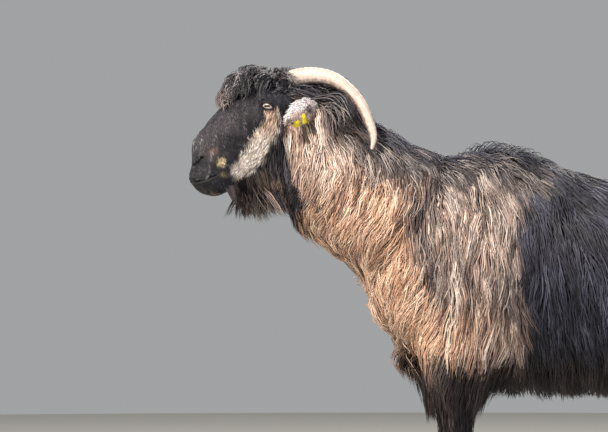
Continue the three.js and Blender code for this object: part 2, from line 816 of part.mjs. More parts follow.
THREE.MathUtils.seededRandom(SEED);
const legs = {};
for (const [name, { spec, hair, side }] of Object.entries(LEGS)) {
  const mass = legMass(spec, side, STRIDE[name]);
  const locks = legLocks(mass, new Coat(mass), hair);
  const roof = beyond(v3([0, 0, spec.top]), DOWN.clone().negate());
  const roofRoom = beyond(v3([0, 0, spec.top + GAP]), DOWN.clone().negate());
  const floor = beyond(v3([0, 0, HOOF.height + GAP]), DOWN);
  const bare = massSolid(mass, { sides: LEG_SIDES });
  const leg = joined([bare, ...dewClaws(mass, side), ...locks.map((run) => lockSolid(run))]);
  const grown = massSolid(mass, { sides: LEG_SIDES, grow: GAP });
  const room = joined([grown, ...locks.map((run) => lockSolid(run, GAP))]);
  legs[name] = { mass, side, leg: leg.subtract(roof).subtract(floor), room: room.subtract(roofRoom) };
}
const legMasses = Object.values(legs).map(({ mass }) => mass);

const bodyCoat = new Coat(trunk, neck, ...legMasses);
const locks = [
  ...bodyLocks(trunk, bodyCoat, TRUNK_HAIR),
  ...bodyLocks(neck, bodyCoat, NECK_HAIR),
  ...forelock(new Coat(head)),
  ...beard(new Coat(head)),
  ...cheekLocks(new Coat(head, neck)),
];
const flesh = joined([
  massSolid(trunk, { sides: 20, grow: CORE * trunk.coat }),
  massSolid(neck, { sides: 16, grow: CORE * neck.coat }),
  massSolid(head, { sides: 20, grow: CORE * head.coat, relief: headRelief }),
  ...Object.values(SIDES).map(lids),
  ...locks.map((run) => lockSolid(run)),
]);
const tailRuns = tailLocks(new Coat(tail));
const tailShape = (grow) =>
  joined([massSolid(tail, { sides: 8, grow }), ...tailRuns.map((run) => lockSolid(run, grow))]);

const rooms = [mouthGroove(), tailShape(GAP), ...Object.values(legs).map(({ room }) => room)];
for (const side of Object.values(SIDES)) {
  rooms.push(horn(side, GAP), ear(side, GAP), eyeBall(side, GAP), nostril(side));
}
const hollowed = rooms.reduce((left, room) => left.subtract(room), flesh);
const [headPart, rest] = parted(hollowed, CUTS.head_neck);
const [neckPart, torso] = parted(rest, CUTS.neck_shoulders);
const [shoulders, rear] = parted(torso, CUTS.shoulders_barrel);
const [barrel, rump] = parted(rear, CUTS.barrel_rump);

const goat = new THREE.Group();
function put(name, made, color, roughness = 0.85) {
  const { vertProperties, triVerts } = largest(made).getMesh();
  const geometry = new THREE.BufferGeometry();
  geometry.setAttribute("position", new THREE.BufferAttribute(vertProperties, 3));
  geometry.setIndex(new THREE.BufferAttribute(triVerts, 1));
  const mesh = new THREE.Mesh(geometry, new THREE.MeshStandardMaterial({ color, roughness, metalness: 0 }));
  mesh.name = name;
  goat.add(mesh);
}
put("head", headPart, COLOUR.black);
put("neck", neckPart, COLOUR.tan);
put("shoulders", shoulders, COLOUR.tan);
put("barrel", barrel, COLOUR.black);
put("rump", rump, COLOUR.black);
put("tail", tailShape(0), COLOUR.black);
for (const [name, side] of Object.entries(SIDES)) {
  put(`horn_${name}`, horn(side), COLOUR.horn, 0.5);
  put(`ear_${name}`, ear(side).subtract(horn(side, GAP)), COLOUR.grey);
  put(`eye_${name}`, eyeBall(side), COLOUR.eye, 0.15);
}
TAG.places.forEach((place, i) => put(`ear_tag_${i + 1}`, earTag(-1, place), COLOUR.tag, 0.45));
for (const [name, { mass, side, leg }] of Object.entries(legs)) {
  const [lower, upper] = parted(leg, { at: [0, 0, LEGS[name].spec.joint], normal: [0, 0, 1] });
  put(`leg_${name}_upper`, upper, COLOUR.black);
  put(`leg_${name}_lower`, lower, COLOUR.brown);
  put(`hoof_${name}_inner`, claw(mass, side, -side), COLOUR.hoof, 0.6);
  put(`hoof_${name}_outer`, claw(mass, side, side), COLOUR.hoof, 0.6);
}

const extent = new THREE.Box3().setFromObject(goat);
goat.position.set(-(extent.min.x + extent.max.x) / 2, -(extent.min.y + extent.max.y) / 2, 0);

export default goat;
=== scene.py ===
"""Looks of a long-haired domestic billy goat, standing square and life size.

The goat faces -X, its left side is towards -Y and it stands on z = 0. Lengths are millimetres with x taken
from the withers, as its masses are drawn, until `Row.metres` sets them in the row frame.
"""

import logging
import math
from dataclasses import dataclass, field, replace
from enum import Enum
from typing import Callable, Sequence

import bpy
import numpy as np
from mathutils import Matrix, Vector
from mathutils.kdtree import KDTree


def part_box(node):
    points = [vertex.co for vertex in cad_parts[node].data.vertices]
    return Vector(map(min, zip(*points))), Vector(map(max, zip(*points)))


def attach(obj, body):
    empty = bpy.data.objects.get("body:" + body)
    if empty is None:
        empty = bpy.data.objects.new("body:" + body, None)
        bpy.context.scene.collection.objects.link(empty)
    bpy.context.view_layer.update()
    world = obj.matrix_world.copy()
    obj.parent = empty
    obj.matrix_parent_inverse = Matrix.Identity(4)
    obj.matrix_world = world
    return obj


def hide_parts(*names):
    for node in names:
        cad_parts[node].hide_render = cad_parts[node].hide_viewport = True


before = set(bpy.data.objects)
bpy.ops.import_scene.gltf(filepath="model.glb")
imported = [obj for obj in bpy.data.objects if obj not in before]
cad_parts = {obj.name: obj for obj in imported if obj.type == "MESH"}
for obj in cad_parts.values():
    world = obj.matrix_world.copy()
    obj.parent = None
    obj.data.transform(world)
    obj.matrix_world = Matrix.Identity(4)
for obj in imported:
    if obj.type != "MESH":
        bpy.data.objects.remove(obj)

Array = np.ndarray
Pair = tuple[float, float]
Triple = tuple[float, float, float]
Station = tuple[float, float, float, float, float, float]
Way = Callable[[Array, Array], Array]  # a direction for each point and the way out there
Density = Callable[[Array], Array]  # tufts for each square centimetre at points
Placing = Callable[[Array], Array]  # places for points
Object = bpy.types.Object
Material = bpy.types.Material
Socket = bpy.types.NodeSocket
log = logging.getLogger("goat")

SEED = 11
DOWN = np.array([0.0, 0.0, -1.0])
CROSS = np.array([0.0, 1.0, 0.0])
SIDES = {"left": -1.0, "right": 1.0}
FAR = 99.0  # a distance that is out of reach of every feature, in millimetres
COLOUR = "coat_colour"  # the attribute that skin and hair take their colour from


# ---- Numbers ----------
def unit(v: Array) -> Array:
    """Vectors of the last axis at length one."""
    return v / np.maximum(np.linalg.norm(v, axis=-1, keepdims=True), 1e-9)


def mix(a: Array | float, b: Array | float, t: Array | float) -> Array | float:
    """The value a share t of the way from a to b."""
    return a + (b - a) * t


def ease(start: Array | float, end: Array | float, x: Array) -> Array:
    """A share that rises smoothly from 0 at start to 1 at end, whichever is larger."""
    t = np.clip((x - start) / (end - start), 0.0, 1.0)
    return t * t * (3 - 2 * t)


def bump(d: Array, reach: float) -> Array:
    """A bell of height 1 that has fallen to 0.37 at d = reach."""
    return np.exp(-((d / reach) ** 2))


def dot(a: Array, b: Array) -> Array:
    """Dot products of rows, kept as a column."""
    return np.sum(a * b, axis=-1, keepdims=True)


def sideways(v: Array, normal: Array) -> Array:
    """The part of v that lies in the plane across normal, at length one."""
    return unit(v - dot(v, normal) * normal)


def ripple(p: Array, size: float, seed: int) -> Array:
    """Smooth waves of about `size` mm from -1 to 1, the same at the same points each time.

    Args:
        p: Points, one a row.
        size: Length of a wave in millimetres.
        seed: Picks another set of waves.

    Returns:
        One number for each point.
    """
    rng = np.random.default_rng(seed)
    total = np.zeros(len(p))
    for _ in range(5):
        way = unit(rng.normal(size=3)) * 2 * math.pi / (size * rng.uniform(0.7, 1.5))
        total += np.sin(p @ way + rng.uniform(0, 2 * math.pi))
    return total / 2.8


def linear(hex_colour: str) -> Array:
    """An sRGB colour written as "#rrggbb", as linear red, green and blue."""
    srgb = np.array([int(hex_colour[i : i + 2], 16) for i in (1, 3, 5)]) / 255
    return np.where(srgb <= 0.04045, srgb / 12.92, ((srgb + 0.055) / 1.055) ** 2.4)


def smooth_columns(xs: Array, ys: Array, x: Array) -> Array:
    """Smooth lines through (xs, each column of ys) that never overshoot them.

    Args:
        xs: Rising places.
        ys: Values, one row for each place.
        x: Places to read, any number.

    Returns:
        One row of values for each entry of x.
    """
    gaps = np.diff(xs)
    slope = np.diff(ys, axis=0) / gaps[:, None]
    before, after = slope[:-1], slope[1:]
    total = before + after
    middle = np.where(before * after > 0, 2 * before * after / np.where(total == 0, 1, total), 0)
    m = np.vstack([slope[:1], middle, slope[-1:]])
    i = np.clip(np.searchsorted(xs, x, side="left") - 1, 0, len(xs) - 2)
    h = gaps[i][:, None]
    t = np.clip((x - xs[i]) / gaps[i], 0, 1)[:, None]
    value = ys[i] * (1 + 2 * t) * (1 - t) ** 2 + ys[i + 1] * t * t * (3 - 2 * t)
    return value + h * (m[i] * t * (1 - t) ** 2 - m[i + 1] * t * t * (1 - t))


class Row:
    """Sets millimetres from the withers in the row frame, by the place of the eyes."""

    EYE_AT: Triple = (-383.0, 53.0, 868.0)

    def __init__(self) -> None:
        """Reads the boxes of both eyes."""
        middles = [sum(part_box(f"eye_{side}"), Vector()) / 2 for side in SIDES]
        middle = (middles[0] + middles[1]) / 2
        x, _, z = self.EYE_AT
        self.shift = np.array(middle) - np.array([x, 0, z]) / 1000

    def metres(self, p: Array) -> Array:
        """Points in millimetres from the withers, in metres in the row frame."""
        return np.asarray(p) / 1000 + self.shift

    def millimetres(self, p: Array) -> Array:
        """Points in metres in the row frame, in millimetres from the withers."""
        return (np.asarray(p) - self.shift) * 1000


ROW = Row()


# ---- Masses of the body ----------
@dataclass(frozen=True)
class Section:
    """The outline of a mass at one or many places along it, in millimetres."""

    top: Array
    bottom: Array
    half: Array
    widest: Array
    across: Array


@dataclass(frozen=True)
class Mass:
    """A part of the body drawn along a straight axis.

    A station is [place on the axis, upper reach, lower reach, half width, share of the height at which it is
    widest, distance of its middle from the goat's middle].
    """

    origin: Triple
    along: Triple
    up: Triple
    stations: tuple[Station, ...]
    side: float = 1.0
    stride: float = 0.0
    stride_from: float = 430.0

    @property
    def first(self) -> float:
        """The first place on the axis."""
        return self.stations[0][0]

    @property
    def last(self) -> float:
        """The last place on the axis."""
        return self.stations[-1][0]

    def section(self, s: Array) -> Section:
        """The outline at places s."""
        table = np.array(self.stations)
        top, bottom, half, share, across = smooth_columns(table[:, 0], table[:, 1:], s).T
        shift = self.stride * np.maximum(0, self.stride_from - s) / self.stride_from
        widest = bottom + share * (top - bottom) + shift
        return Section(top + shift, bottom + shift, half, widest, across)

    def point(self, s: Array, a: Array, grow: Array | float = 0.0) -> Array:
        """Surface points at places s and angles a from the upper edge, grown outwards."""
        q = self.section(s)
        c = np.cos(a)
        reach = np.where(c > 0, q.top - q.widest, q.widest - q.bottom) + grow
        p = np.array(self.origin) + s[:, None] * unit(np.array(self.along))
        p = p + (q.widest + reach * c)[:, None] * unit(np.array(self.up))
        p[:, 1] += self.side * q.across + (q.half + grow) * np.sin(a)
        return p

    def place(self, s: Array, up: Array, y: Array) -> Array:
        """Points at places s, height up over the axis and y to the side."""
        p = np.array(self.origin) + np.outer(s, unit(np.array(self.along)))
        p = p + np.outer(up, unit(np.array(self.up)))
        p[:, 1] = y
        return p

    def reach(self, s: Array, up: Array) -> Array:
        """How far the surface lies to the side at places s and height up."""
        q = self.section(s)
        t = up - q.widest
        share = t / np.where(t > 0, q.top - q.widest, q.widest - q.bottom)
        return q.half * np.sqrt(np.clip(1 - share * share, 0, None))

    def above(self, p: Array) -> Array:
        """How high points lie over the axis."""
        return dot(p - np.array(self.origin), np.array(self.up))[:, 0]

    def measure(self, p: Array) -> tuple[Array, ...]:
        """Places on the axis, free and held to the mass, y and height over its middle, and their limits."""
        d = p - np.array(self.origin)
        s = d @ unit(np.array(self.along))
        held = np.clip(s, self.first, self.last)
        q = self.section(held)
        t = d @ unit(np.array(self.up)) - q.widest
        tall = np.where(t > 0, q.top - q.widest, q.widest - q.bottom)
        return s, held, p[:, 1] - self.side * q.across, t, q.half, tall

    def local(self, p: Array) -> tuple[Array, Array, Array]:
        """Where points lie: place held to the mass, free place, and turn from the upper edge."""
        s, held, y, t, half, tall = self.measure(p)
        return held, s, np.arctan2(y / half, t / tall)

    def height(self, p: Array) -> Array:
        """How far points are outside the surface, roughly, and below zero inside it."""
        s, held, y, t, half, tall = self.measure(p)
        r = np.maximum(np.hypot(y / half, t / np.maximum(tall, 1.0)), 1e-6)
        flat = (1 - 1 / r) * np.hypot(y, t)
        return np.where(s == held, flat, np.hypot(np.maximum(flat, 0), s - held))


TRUNK = Mass(
    origin=(0, 0, 0),
    along=(1, 0, 0),
    up=(0, 0, 1),
    stations=(
        (-196, 590, 530, 26, 0.5, 0), (-184, 632, 490, 62, 0.5, 0), (-150, 680, 452, 98, 0.48, 0),
        (-100, 722, 422, 118, 0.46, 0), (-40, 758, 404, 127, 0.44, 0), (20, 775, 396, 131, 0.42, 0),
        (90, 757, 391, 142, 0.43, 0), (165, 732, 387, 153, 0.45, 0), (250, 711, 384, 160, 0.46, 0),
        (340, 704, 392, 157, 0.48, 0), (430, 711, 424, 143, 0.5, 0), (500, 715, 472, 126, 0.5, 0),
        (560, 703, 512, 110, 0.5, 0), (606, 672, 552, 84, 0.5, 0), (628, 640, 584, 44, 0.5, 0),
    ),
)
NECK = Mass(
    origin=(-330, 0, 800),
    along=(0.814, 0, -0.581),
    up=(0.581, 0, 0.814),
    stations=(
        (-62, 44, -46, 34, 0.5, 0), (-40, 62, -62, 50, 0.5, 0), (0, 74, -74, 58, 0.5, 0),
        (60, 84, -86, 62, 0.48, 0), (120, 91, -95, 70, 0.47, 0), (180, 102, -104, 84, 0.46, 0),
        (235, 118, -110, 102, 0.45, 0), (280, 110, -96, 96, 0.45, 0),
    ),
)
PITCH = math.radians(38)  # how far the head's axis points below level
HEAD = Mass(
    origin=(-400, 0, 830),
    along=(-math.cos(PITCH), 0, -math.sin(PITCH)),
    up=(-math.sin(PITCH), 0, math.cos(PITCH)),
    stations=(
        (-92, 14, -30, 30, 0.6, 0), (-84, 34, -50, 44, 0.62, 0), (-62, 62, -68, 55, 0.64, 0),
        (-36, 75, -82, 61, 0.65, 0), (-8, 77, -90, 60, 0.66, 0), (22, 74, -89, 51, 0.62, 0),
        (50, 71, -78, 43, 0.56, 0), (76, 65, -67, 36, 0.48, 0), (108, 58, -56, 33, 0.38, 0),
        (120, 47, -52, 33, 0.38, 0), (134, 29, -48, 32, 0.42, 0), (150, 14.5, -36, 24, 0.46, 0),
        (157, 8, -25, 15, 0.5, 0), (160, 0, -15, 7, 0.5, 0),
    ),
)
FORELEG = Mass(
    origin=(0, 0, 0),
    along=(0, 0, 1),
    up=(1, 0, 0),
    stations=(
        (38, -36, -74, 17, 0.5, 75), (50, -34, -75, 19, 0.5, 75), (70, -31, -66, 16, 0.5, 75),
        (94, -23, -61, 17, 0.5, 75), (122, -27, -56, 13, 0.5, 75), (170, -28, -57, 13, 0.5, 75),
        (210, -22, -63, 17, 0.5, 75), (236, -18, -69, 21, 0.5, 75), (258, -20, -67, 20, 0.5, 76),
        (292, -20, -68, 21, 0.5, 76), (342, -12, -76, 25, 0.5, 78), (390, 6, -86, 31, 0.5, 80),
        (428, 20, -100, 36, 0.5, 79), (466, 15, -118, 36, 0.5, 77), (505, 0, -126, 31, 0.5, 73),
        (545, -14, -124, 25, 0.5, 69),
    ),
)
HINDLEG = Mass(
    origin=(0, 0, 0),
    along=(0, 0, 1),
    up=(1, 0, 0),
    stations=(
        (38, 571, 533, 17, 0.5, 84), (50, 574, 532, 19, 0.5, 84), (70, 577, 540, 16, 0.5, 84),
        (96, 586, 546, 17, 0.5, 84), (130, 582, 551, 13, 0.5, 84), (182, 585, 553, 13, 0.5, 84),
        (234, 597, 556, 17, 0.5, 84), (262, 612, 556, 20, 0.5, 84), (290, 620, 544, 21, 0.5, 83),
        (322, 608, 512, 25, 0.5, 82), (360, 602, 474, 32, 0.5, 80), (410, 604, 436, 42, 0.5, 78),
        (460, 616, 420, 52, 0.5, 74), (520, 628, 424, 60, 0.5, 70), (580, 628, 440, 58, 0.5, 66),
        (634, 608, 476, 42, 0.5, 60),
    ),
)
TAIL = Mass(
    origin=(612, 0, 676),
    along=(0.5, 0, -0.866),
    up=(0.866, 0, 0.5),
    stations=(
        (-18, 14, -14, 16, 0.5, 0), (10, 17, -15, 19, 0.5, 0), (50, 14, -12, 17, 0.5, 0),
        (90, 9, -9, 12, 0.5, 0), (112, 4, -4, 5, 0.5, 0),
    ),
)
# How far each foot is set ahead (-) or back (+) of square.
STRIDE = {"fore_left": -18.0, "fore_right": 14.0, "hind_left": 22.0, "hind_right": -14.0}


def leg(name: str) -> Mass:
    """The mass of a leg such as "fore_left"."""
    part, side = name.split("_")
    return replace(FORELEG if part == "fore" else HINDLEG, side=SIDES[side], stride=STRIDE[name])


LEGS = {name: leg(name) for name in STRIDE}


class Body:
    """All masses together, as one rounded form."""

    ROUNDING = 7.0  # how softly the masses run into one another, in millimetres
    PROBE = 2.5  # how far apart heights are read to find the way out

    def __init__(self) -> None:
        """Lists the masses."""
        self.masses = {"trunk": TRUNK, "neck": NECK, "head": HEAD, "tail": TAIL, **LEGS}

    def heights(self, p: Array) -> Array:
        """Heights over each mass, one column for each."""
        return np.stack([mass.height(p) for mass in self.masses.values()], axis=1)

    def nearest(self, p: Array) -> Array:
        """The name of the mass that each point lies on."""
        return np.array(list(self.masses))[self.heights(p).argmin(axis=1)]

    def height(self, p: Array) -> Array:
        """How far points are outside the rounded body."""
        each = self.heights(p) / self.ROUNDING
        least = each.min(axis=1)
        return self.ROUNDING * (least - np.log(np.exp(least[:, None] - each).sum(axis=1)))

    def out(self, p: Array) -> Array:
        """The way out from the body at each point."""
        steps = self.PROBE * np.eye(3)
        rise = [self.height(p + step) - self.height(p - step) for step in steps]
        return unit(np.stack(rise, axis=1))


BODY = Body()


# ---- Colours and markings ----------
@dataclass(frozen=True)
class Shade:
    """The run of colours that the hairs of one marking have, from the darkest to the palest."""

    dark: str
    mid: str
    pale: str

    def pick(self, r: Array) -> Array:
        """Linear colours at shares r from the darkest to the palest."""
        dark, middle, pale = linear(self.dark), linear(self.mid), linear(self.pale)
        low = mix(dark, middle, np.clip(2 * r, 0, 1)[:, None])
        return mix(low, pale, np.clip(2 * r - 1, 0, 1)[:, None])


class Coat(Enum):
    """The colours of the goat's coat."""

    BLACK = Shade("#121219", "#2b2c37", "#545666")
    FACE = Shade("#0f0e13", "#27262e", "#5c5862")
    NOSE_SIDE = Shade("#201e23", "#45414a", "#7a7276")
    # Pale grey hair, and the painted highlights along the lips and on top of the forelock.
    GREY_AND_HIGHLIGHT = Shade("#2b2b31", "#515056", "#b4b3b8")
    STRIPE_TOP = Shade("#8c6e5c", "#dab9a0", "#f6e2d2")
    STRIPE = Shade("#b6a99f", "#efe4db", "#fffbf6")
    SPOT = Shade("#8a7a60", "#dccb9e", "#f8f0d4")
    GRIZZLE = Shade("#18171b", "#4b4548", "#a8a09c")
    NECK = Shade("#5e4c44", "#cdb1a1", "#fbece0")
    CHEST = Shade("#6a4d3f", "#d2a88c", "#fde8d2")
    SHOULDER = Shade("#2e2729", "#a89086", "#f6e6d8")
    STREAKED = Shade("#2a2526", "#766a69", "#c2b5ae")
    EAR = Shade("#94929a", "#e2e0e6", "#ffffff")
    EAR_LOW = Shade("#7c6864", "#c9aea5", "#f0ded4")
    FORELOCK = Shade("#101014", "#302f37", "#bab4b8")
    LOCK_RIM = Shade("#262022", "#5b5151", "#a69c96")
    LEG = Shade("#0f0e10", "#262122", "#4f4546")


def line_distance(x: Array, z: Array, a: Pair, b: Pair) -> Array:
    """Distances of (x, z) from the line that runs from a to b, which stops at both."""
    ax, az = a
    dx, dz = b[0] - ax, b[1] - az
    t = np.clip(((x - ax) * dx + (z - az) * dz) / (dx * dx + dz * dz), 0, 1)
    return np.hypot(x - ax - t * dx, z - az - t * dz)


def past_cleft(p: Array) -> Array:
    """How far points lie behind the parting between neck and shoulder, in millimetres."""
    x, z = p[:, 0], p[:, 2]
    return x + 55 + 0.83 * np.clip(778 - z, 0, 109) - 0.35 * np.maximum(0, 669 - z)


@dataclass(frozen=True)
class Patch:
    """A soft patch of the head, round or drawn out along x."""

    shade: Coat
    at: Pair  # x and z
    reach: float
    share: float
    drawn_out: float = 1.0


class Layers:
    """Colours of hairs, with one marking laid over another."""

    def __init__(self, p: Array, r: Array) -> None:
        """Starts with black hairs.

        Args:
            p: Where the hairs show, in millimetres from the withers.
            r: Shares from the darkest hair of a marking to its palest.
        """
        self.p, self.r = p, r
        self.x, self.y, self.z = p[:, 0], np.abs(p[:, 1]), p[:, 2]
        self.wander = 9 * ripple(p, 46, 3) + 4 * ripple(p, 17, 4)
        self.blur = 9 * (0.5 - r)  # dark hairs blur the edges of what is pale
        self.colour = Coat.BLACK.value.pick(r)

    def lay(self, shade: Coat, share: Array) -> None:
        """Lays a marking over what is there, by its share at each point."""
        self.colour = mix(self.colour, shade.value.pick(self.r), np.clip(share, 0, 1)[:, None])

    def streaks(self, size: float, drawn_out: float, seed: int) -> Array:
        """Upright streaks from -1 to 1, of which the height counts by the share drawn_out."""
        return ripple(self.p * [1, 1, drawn_out], size, seed)


class Markings:
    """Where each colour of the coat lies, the same on both sides.

    Pairs of tables such as JAW_Z and JAW_X give the other coordinate of a line at rising places.
    """

    FLANK_Z, FLANK_X = (430, 560, 650, 696, 722, 770), (80, 60, 58, 74, 104, 132)
    JAW_Z = (600, 640, 668, 695, 740, 805, 856, 888)
    JAW_X = (-360, -350, -332, -314, -338, -350, -350, -308)
    BACK_X, BACK_Z = (-330, -290, -246, -145, -60, 45, 109, 233), (905, 898, 872, 812, 795, 806, 780, 738)
    GRIZZLE_X, GRIZZLE_DEPTH = (-330, -290, -246, -180, -90, 0, 60, 120), (26, 44, 84, 100, 78, 80, 92, 104)
    NAPE_X = -250
    NOSE_LINE = ((-500, 818), (-458, 846))
    LIP_LINE = ((-512, 732), (-494, 737))
    STRIPE = (
        ((-380, 856), 9), ((-382, 836), 11), ((-387, 818), 16), ((-397, 801), 19), ((-406, 783), 19),
        ((-425, 765), 17), ((-438, 752), 11),
    )

    PATCHES = (
        Patch(Coat.GREY_AND_HIGHLIGHT, (-512, 803), 13, 0.95, 1.1),
        Patch(Coat.STRIPE_TOP, (-486, 786), 9, 0.2, 1.2),
        Patch(Coat.GREY_AND_HIGHLIGHT, (-490, 772), 8, 0.55),
        Patch(Coat.GREY_AND_HIGHLIGHT, (-494, 757), 10, 0.35),
    )

    def stripe(self, p: Array, blur: Array | float = 0.0) -> Array:
        """Share of the pale stripe of the cheek, whose edges are moved inwards by the blur."""
        share = np.zeros(len(p))
        for (a, wide_a), (b, wide_b) in zip(self.STRIPE[:-1], self.STRIPE[1:]):
            far = line_distance(p[:, 0], p[:, 2], a, b) + blur
            wide = (wide_a + wide_b) / 2
            share = np.maximum(share, ease(wide + 6, wide - 9, far))
        return share * ease(10, 24, np.abs(p[:, 1])) * ease(870, 862, p[:, 2])

    def colour(self, p: Array, r: Array) -> Array:
        """The linear colours of hairs that show at p, at shares r from the darkest to the palest."""
        on = Layers(p, r)
        edge = np.interp(on.z, self.FLANK_Z, self.FLANK_X) + 0.8 * on.wander
        front = ease(10, -10, on.x - edge + 16 * (r - 0.5))
        self.forequarters(on, front, edge)
        self.crest(on, front)
        on.lay(Coat.LEG, ease(436, 396, on.z + 0.8 * on.wander))
        self.head(on)
        return on.colour

    def forequarters(self, on: Layers, front: Array, edge: Array) -> None:
        """Neck, chest and shoulder, up to the line down the flank."""
        x, z = on.x, on.z
        on.lay(Coat.SHOULDER, front)
        on.lay(Coat.STREAKED, front * ease(-62, -8, x - edge) * ease(440, 520, z))
        # The neck reddens towards the chest.
        past = past_cleft(on.p)
        neck = front * ease(14, -14, past - 0.6 * on.wander)
        on.lay(Coat.NECK, neck)
        on.lay(Coat.CHEST, neck * ease(-40, 60, (x + 330) * 0.5 + (705 - z) + on.wander))
        on.lay(Coat.CHEST, front * ease(540, 490, z) * ease(60, -60, x) * 0.75)
        # The shoulder is tan below and streaked with dark hair, most so behind the neck's edge.
        shoulder = front * ease(-14, 14, past)
        on.lay(Coat.NECK, shoulder * bump(np.hypot((x + 27) / 1.5, z - 640), 80) * 0.6)
        dark = 0.7 * ease(-0.1, 0.5, on.streaks(12, 0.16, 21))
        parting = 0.85 * bump(past - 22, 34) * ease(-0.9, 0.2, ripple(on.p, 20, 22))
        on.lay(Coat.GRIZZLE, shoulder * np.maximum(dark, parting) * ease(480, 560, z))

    def crest(self, on: Layers, front: Array) -> None:
        """Dark grizzled hair along the crest, the withers and the back."""
        depth = np.interp(on.x, self.BACK_X, self.BACK_Z) - on.z + on.wander
        deep = np.interp(on.x, self.GRIZZLE_X, self.GRIZZLE_DEPTH)
        on.lay(Coat.GRIZZLE, front * ease(deep + 36, deep - 36, depth))
        nape = 1 - 0.6 * bump(on.x - self.NAPE_X, 60)
        on.lay(Coat.BLACK, front * nape * ease(34, 14, depth - 6 * ripple(on.p, 30, 8)))
        streaks = ease(0.0, 0.6, on.streaks(13, 0.3, 60)) * ease(2, 22, depth)
        on.lay(Coat.SHOULDER, front * streaks * bump(on.x - self.NAPE_X, 85) * 0.55)

    def head(self, on: Layers) -> None:
        """The head, its jaw and its throat."""
        x, y, z, blur = on.x, on.y, on.z, on.blur
        head = ease(8, -8, x - np.interp(z, self.JAW_Z, self.JAW_X) + 0.4 * on.wander)
        on.lay(Coat.FACE, head)
        low = ease(726, 696, z) * head * ease(-358, -380, x)
        on.lay(Coat.STREAKED, low * ease(-0.8, 0.3, on.streaks(20, 0.4, 10)) * 0.6)
        on.lay(Coat.NECK, low * ease(0.2, 0.8, on.streaks(15, 0.4, 9)) * 0.6)
        throat = bump(np.hypot(x + 374, (z - 710) / 1.4), 18) * ease(-0.4, 0.3, on.streaks(14, 0.3, 8))
        on.lay(Coat.NECK, head * throat * 0.85)
        on.lay(Coat.NOSE_SIDE, head * bump(line_distance(x, z, *self.NOSE_LINE) + blur, 24) * 0.9)
        for patch in self.PATCHES:
            far = np.hypot((x - patch.at[0]) / patch.drawn_out, z - patch.at[1]) + blur
            on.lay(patch.shade, head * bump(far, patch.reach) * patch.share)
        stripe = self.stripe(on.p, 0.4 * on.wander + 2.0 * blur) * head
        on.lay(Coat.STRIPE, stripe)
        on.lay(Coat.STRIPE_TOP, stripe * ease(796, 846, z))
        on.lay(Coat.BLACK, head * bump(np.hypot((x + 378) / 1.6, z - 893), 24))
        # Pale hairs with a painted highlight along the lips.
        on.lay(Coat.GREY_AND_HIGHLIGHT, head * bump(line_distance(x, z, *self.LIP_LINE) + 0.5 * blur, 4) * 0.8)
        on.lay(Coat.SPOT, head * ease(13, 1, np.hypot(x + 470, z - 767) + 1.3 * blur) * ease(10, 20, y))
        on.lay(Coat.SPOT, head * ease(10, 2, np.hypot(x + 466, z - 745) + blur) * ease(10, 18, y) * 0.2)


MARKINGS = Markings()


# ---- Meshes ----------
def deselect() -> None:
    """Leaves nothing selected, in object mode."""
    if bpy.context.object is not None and bpy.context.object.mode != "OBJECT":
        bpy.ops.object.mode_set(mode="OBJECT")
    bpy.ops.object.select_all(action="DESELECT")


def only(obj: Object) -> Object:
    """Selects obj alone and makes it active."""
    deselect()
    obj.select_set(True)
    bpy.context.view_layer.objects.active = obj
    return obj


def named(name: str) -> Object:
    """The object that an operator has just added, under its name."""
    obj = bpy.context.object
    obj.name = name
    obj.data.name = name
    return obj


def coordinates(obj: Object) -> Array:
    """The places of an object's points."""
    flat = np.empty(3 * len(obj.data.vertices), np.float32)
    obj.data.vertices.foreach_get("co", flat)
    return flat.reshape(-1, 3).astype(float)


def primitive(name: str, kind: str, **settings: object) -> Object:
    """Adds one of the plain forms, such as a grid or a cube."""
    deselect()
    getattr(bpy.ops.mesh, f"primitive_{kind}_add")(**settings)
    return named(name)


def set_coordinates(obj: Object, points: Array) -> None:
    """Moves an object's points, given in metres in the row frame."""
    obj.data.vertices.foreach_set("co", np.asarray(points, np.float32).ravel())
    obj.data.update()


def apply_modifier(obj: Object, kind: str, **settings: object) -> None:
    """Adds a modifier with its settings and applies it."""
    only(obj)
    modifier = obj.modifiers.new(kind.lower(), kind)
    for key, value in settings.items():
        setattr(modifier, key, value)
    bpy.ops.object.modifier_apply(modifier=modifier.name)


def tidy_mesh(obj: Object, merge: float = 2e-6) -> Object:
    """Merges doubles and turns every face outwards."""
    only(obj)
    bpy.ops.object.mode_set(mode="EDIT")
    bpy.ops.mesh.select_all(action="SELECT")
    bpy.ops.mesh.remove_doubles(threshold=merge)
    bpy.ops.mesh.normals_make_consistent(inside=False)
    bpy.ops.object.mode_set(mode="OBJECT")
    return obj


def rolled(name: str, around: int, rings: int, shape: Way) -> Object:
    """A closed tube, rolled from a grid and shaped point by point.

    Args:
        name: Name of the object.
        around: Faces round the tube.
        rings: Faces along it.
        shape: Gives places in millimetres for shares along the tube and turns round it. At shares 0 and 1
            every turn has one place, so that the ends close.

    Returns:
        The object, closed and turned the right way out.
    """
    obj = primitive(name, "grid", x_subdivisions=around, y_subdivisions=rings, size=1)
    flat = coordinates(obj)
    share = np.round(flat[:, 1] + 0.5, 6)
    turn = np.where(flat[:, 0] > 0.4999, -0.5, flat[:, 0]) * 2 * math.pi
    set_coordinates(obj, ROW.metres(shape(share, turn)))
    return tidy_mesh(obj)


def ball(name: str, around: int, rings: int, place: Placing) -> Object:
    """A closed ball, with its points in the same order each run.

    Args:
        name: Name of the object.
        around: Faces round the ball.
        rings: Faces from pole to pole.
        place: Gives places in millimetres for points of a ball of radius one, whose poles lie on z.

    Returns:
        The object, closed and turned the right way out.
    """

    def shape(share: Array, turn: Array) -> Array:
        """Rings from the upper pole to the lower one."""
        wide = np.sin(math.pi * share)
        return place(np.c_[wide * np.cos(turn), wide * np.sin(turn), np.cos(math.pi * share)])

    return rolled(name, around, rings, shape)


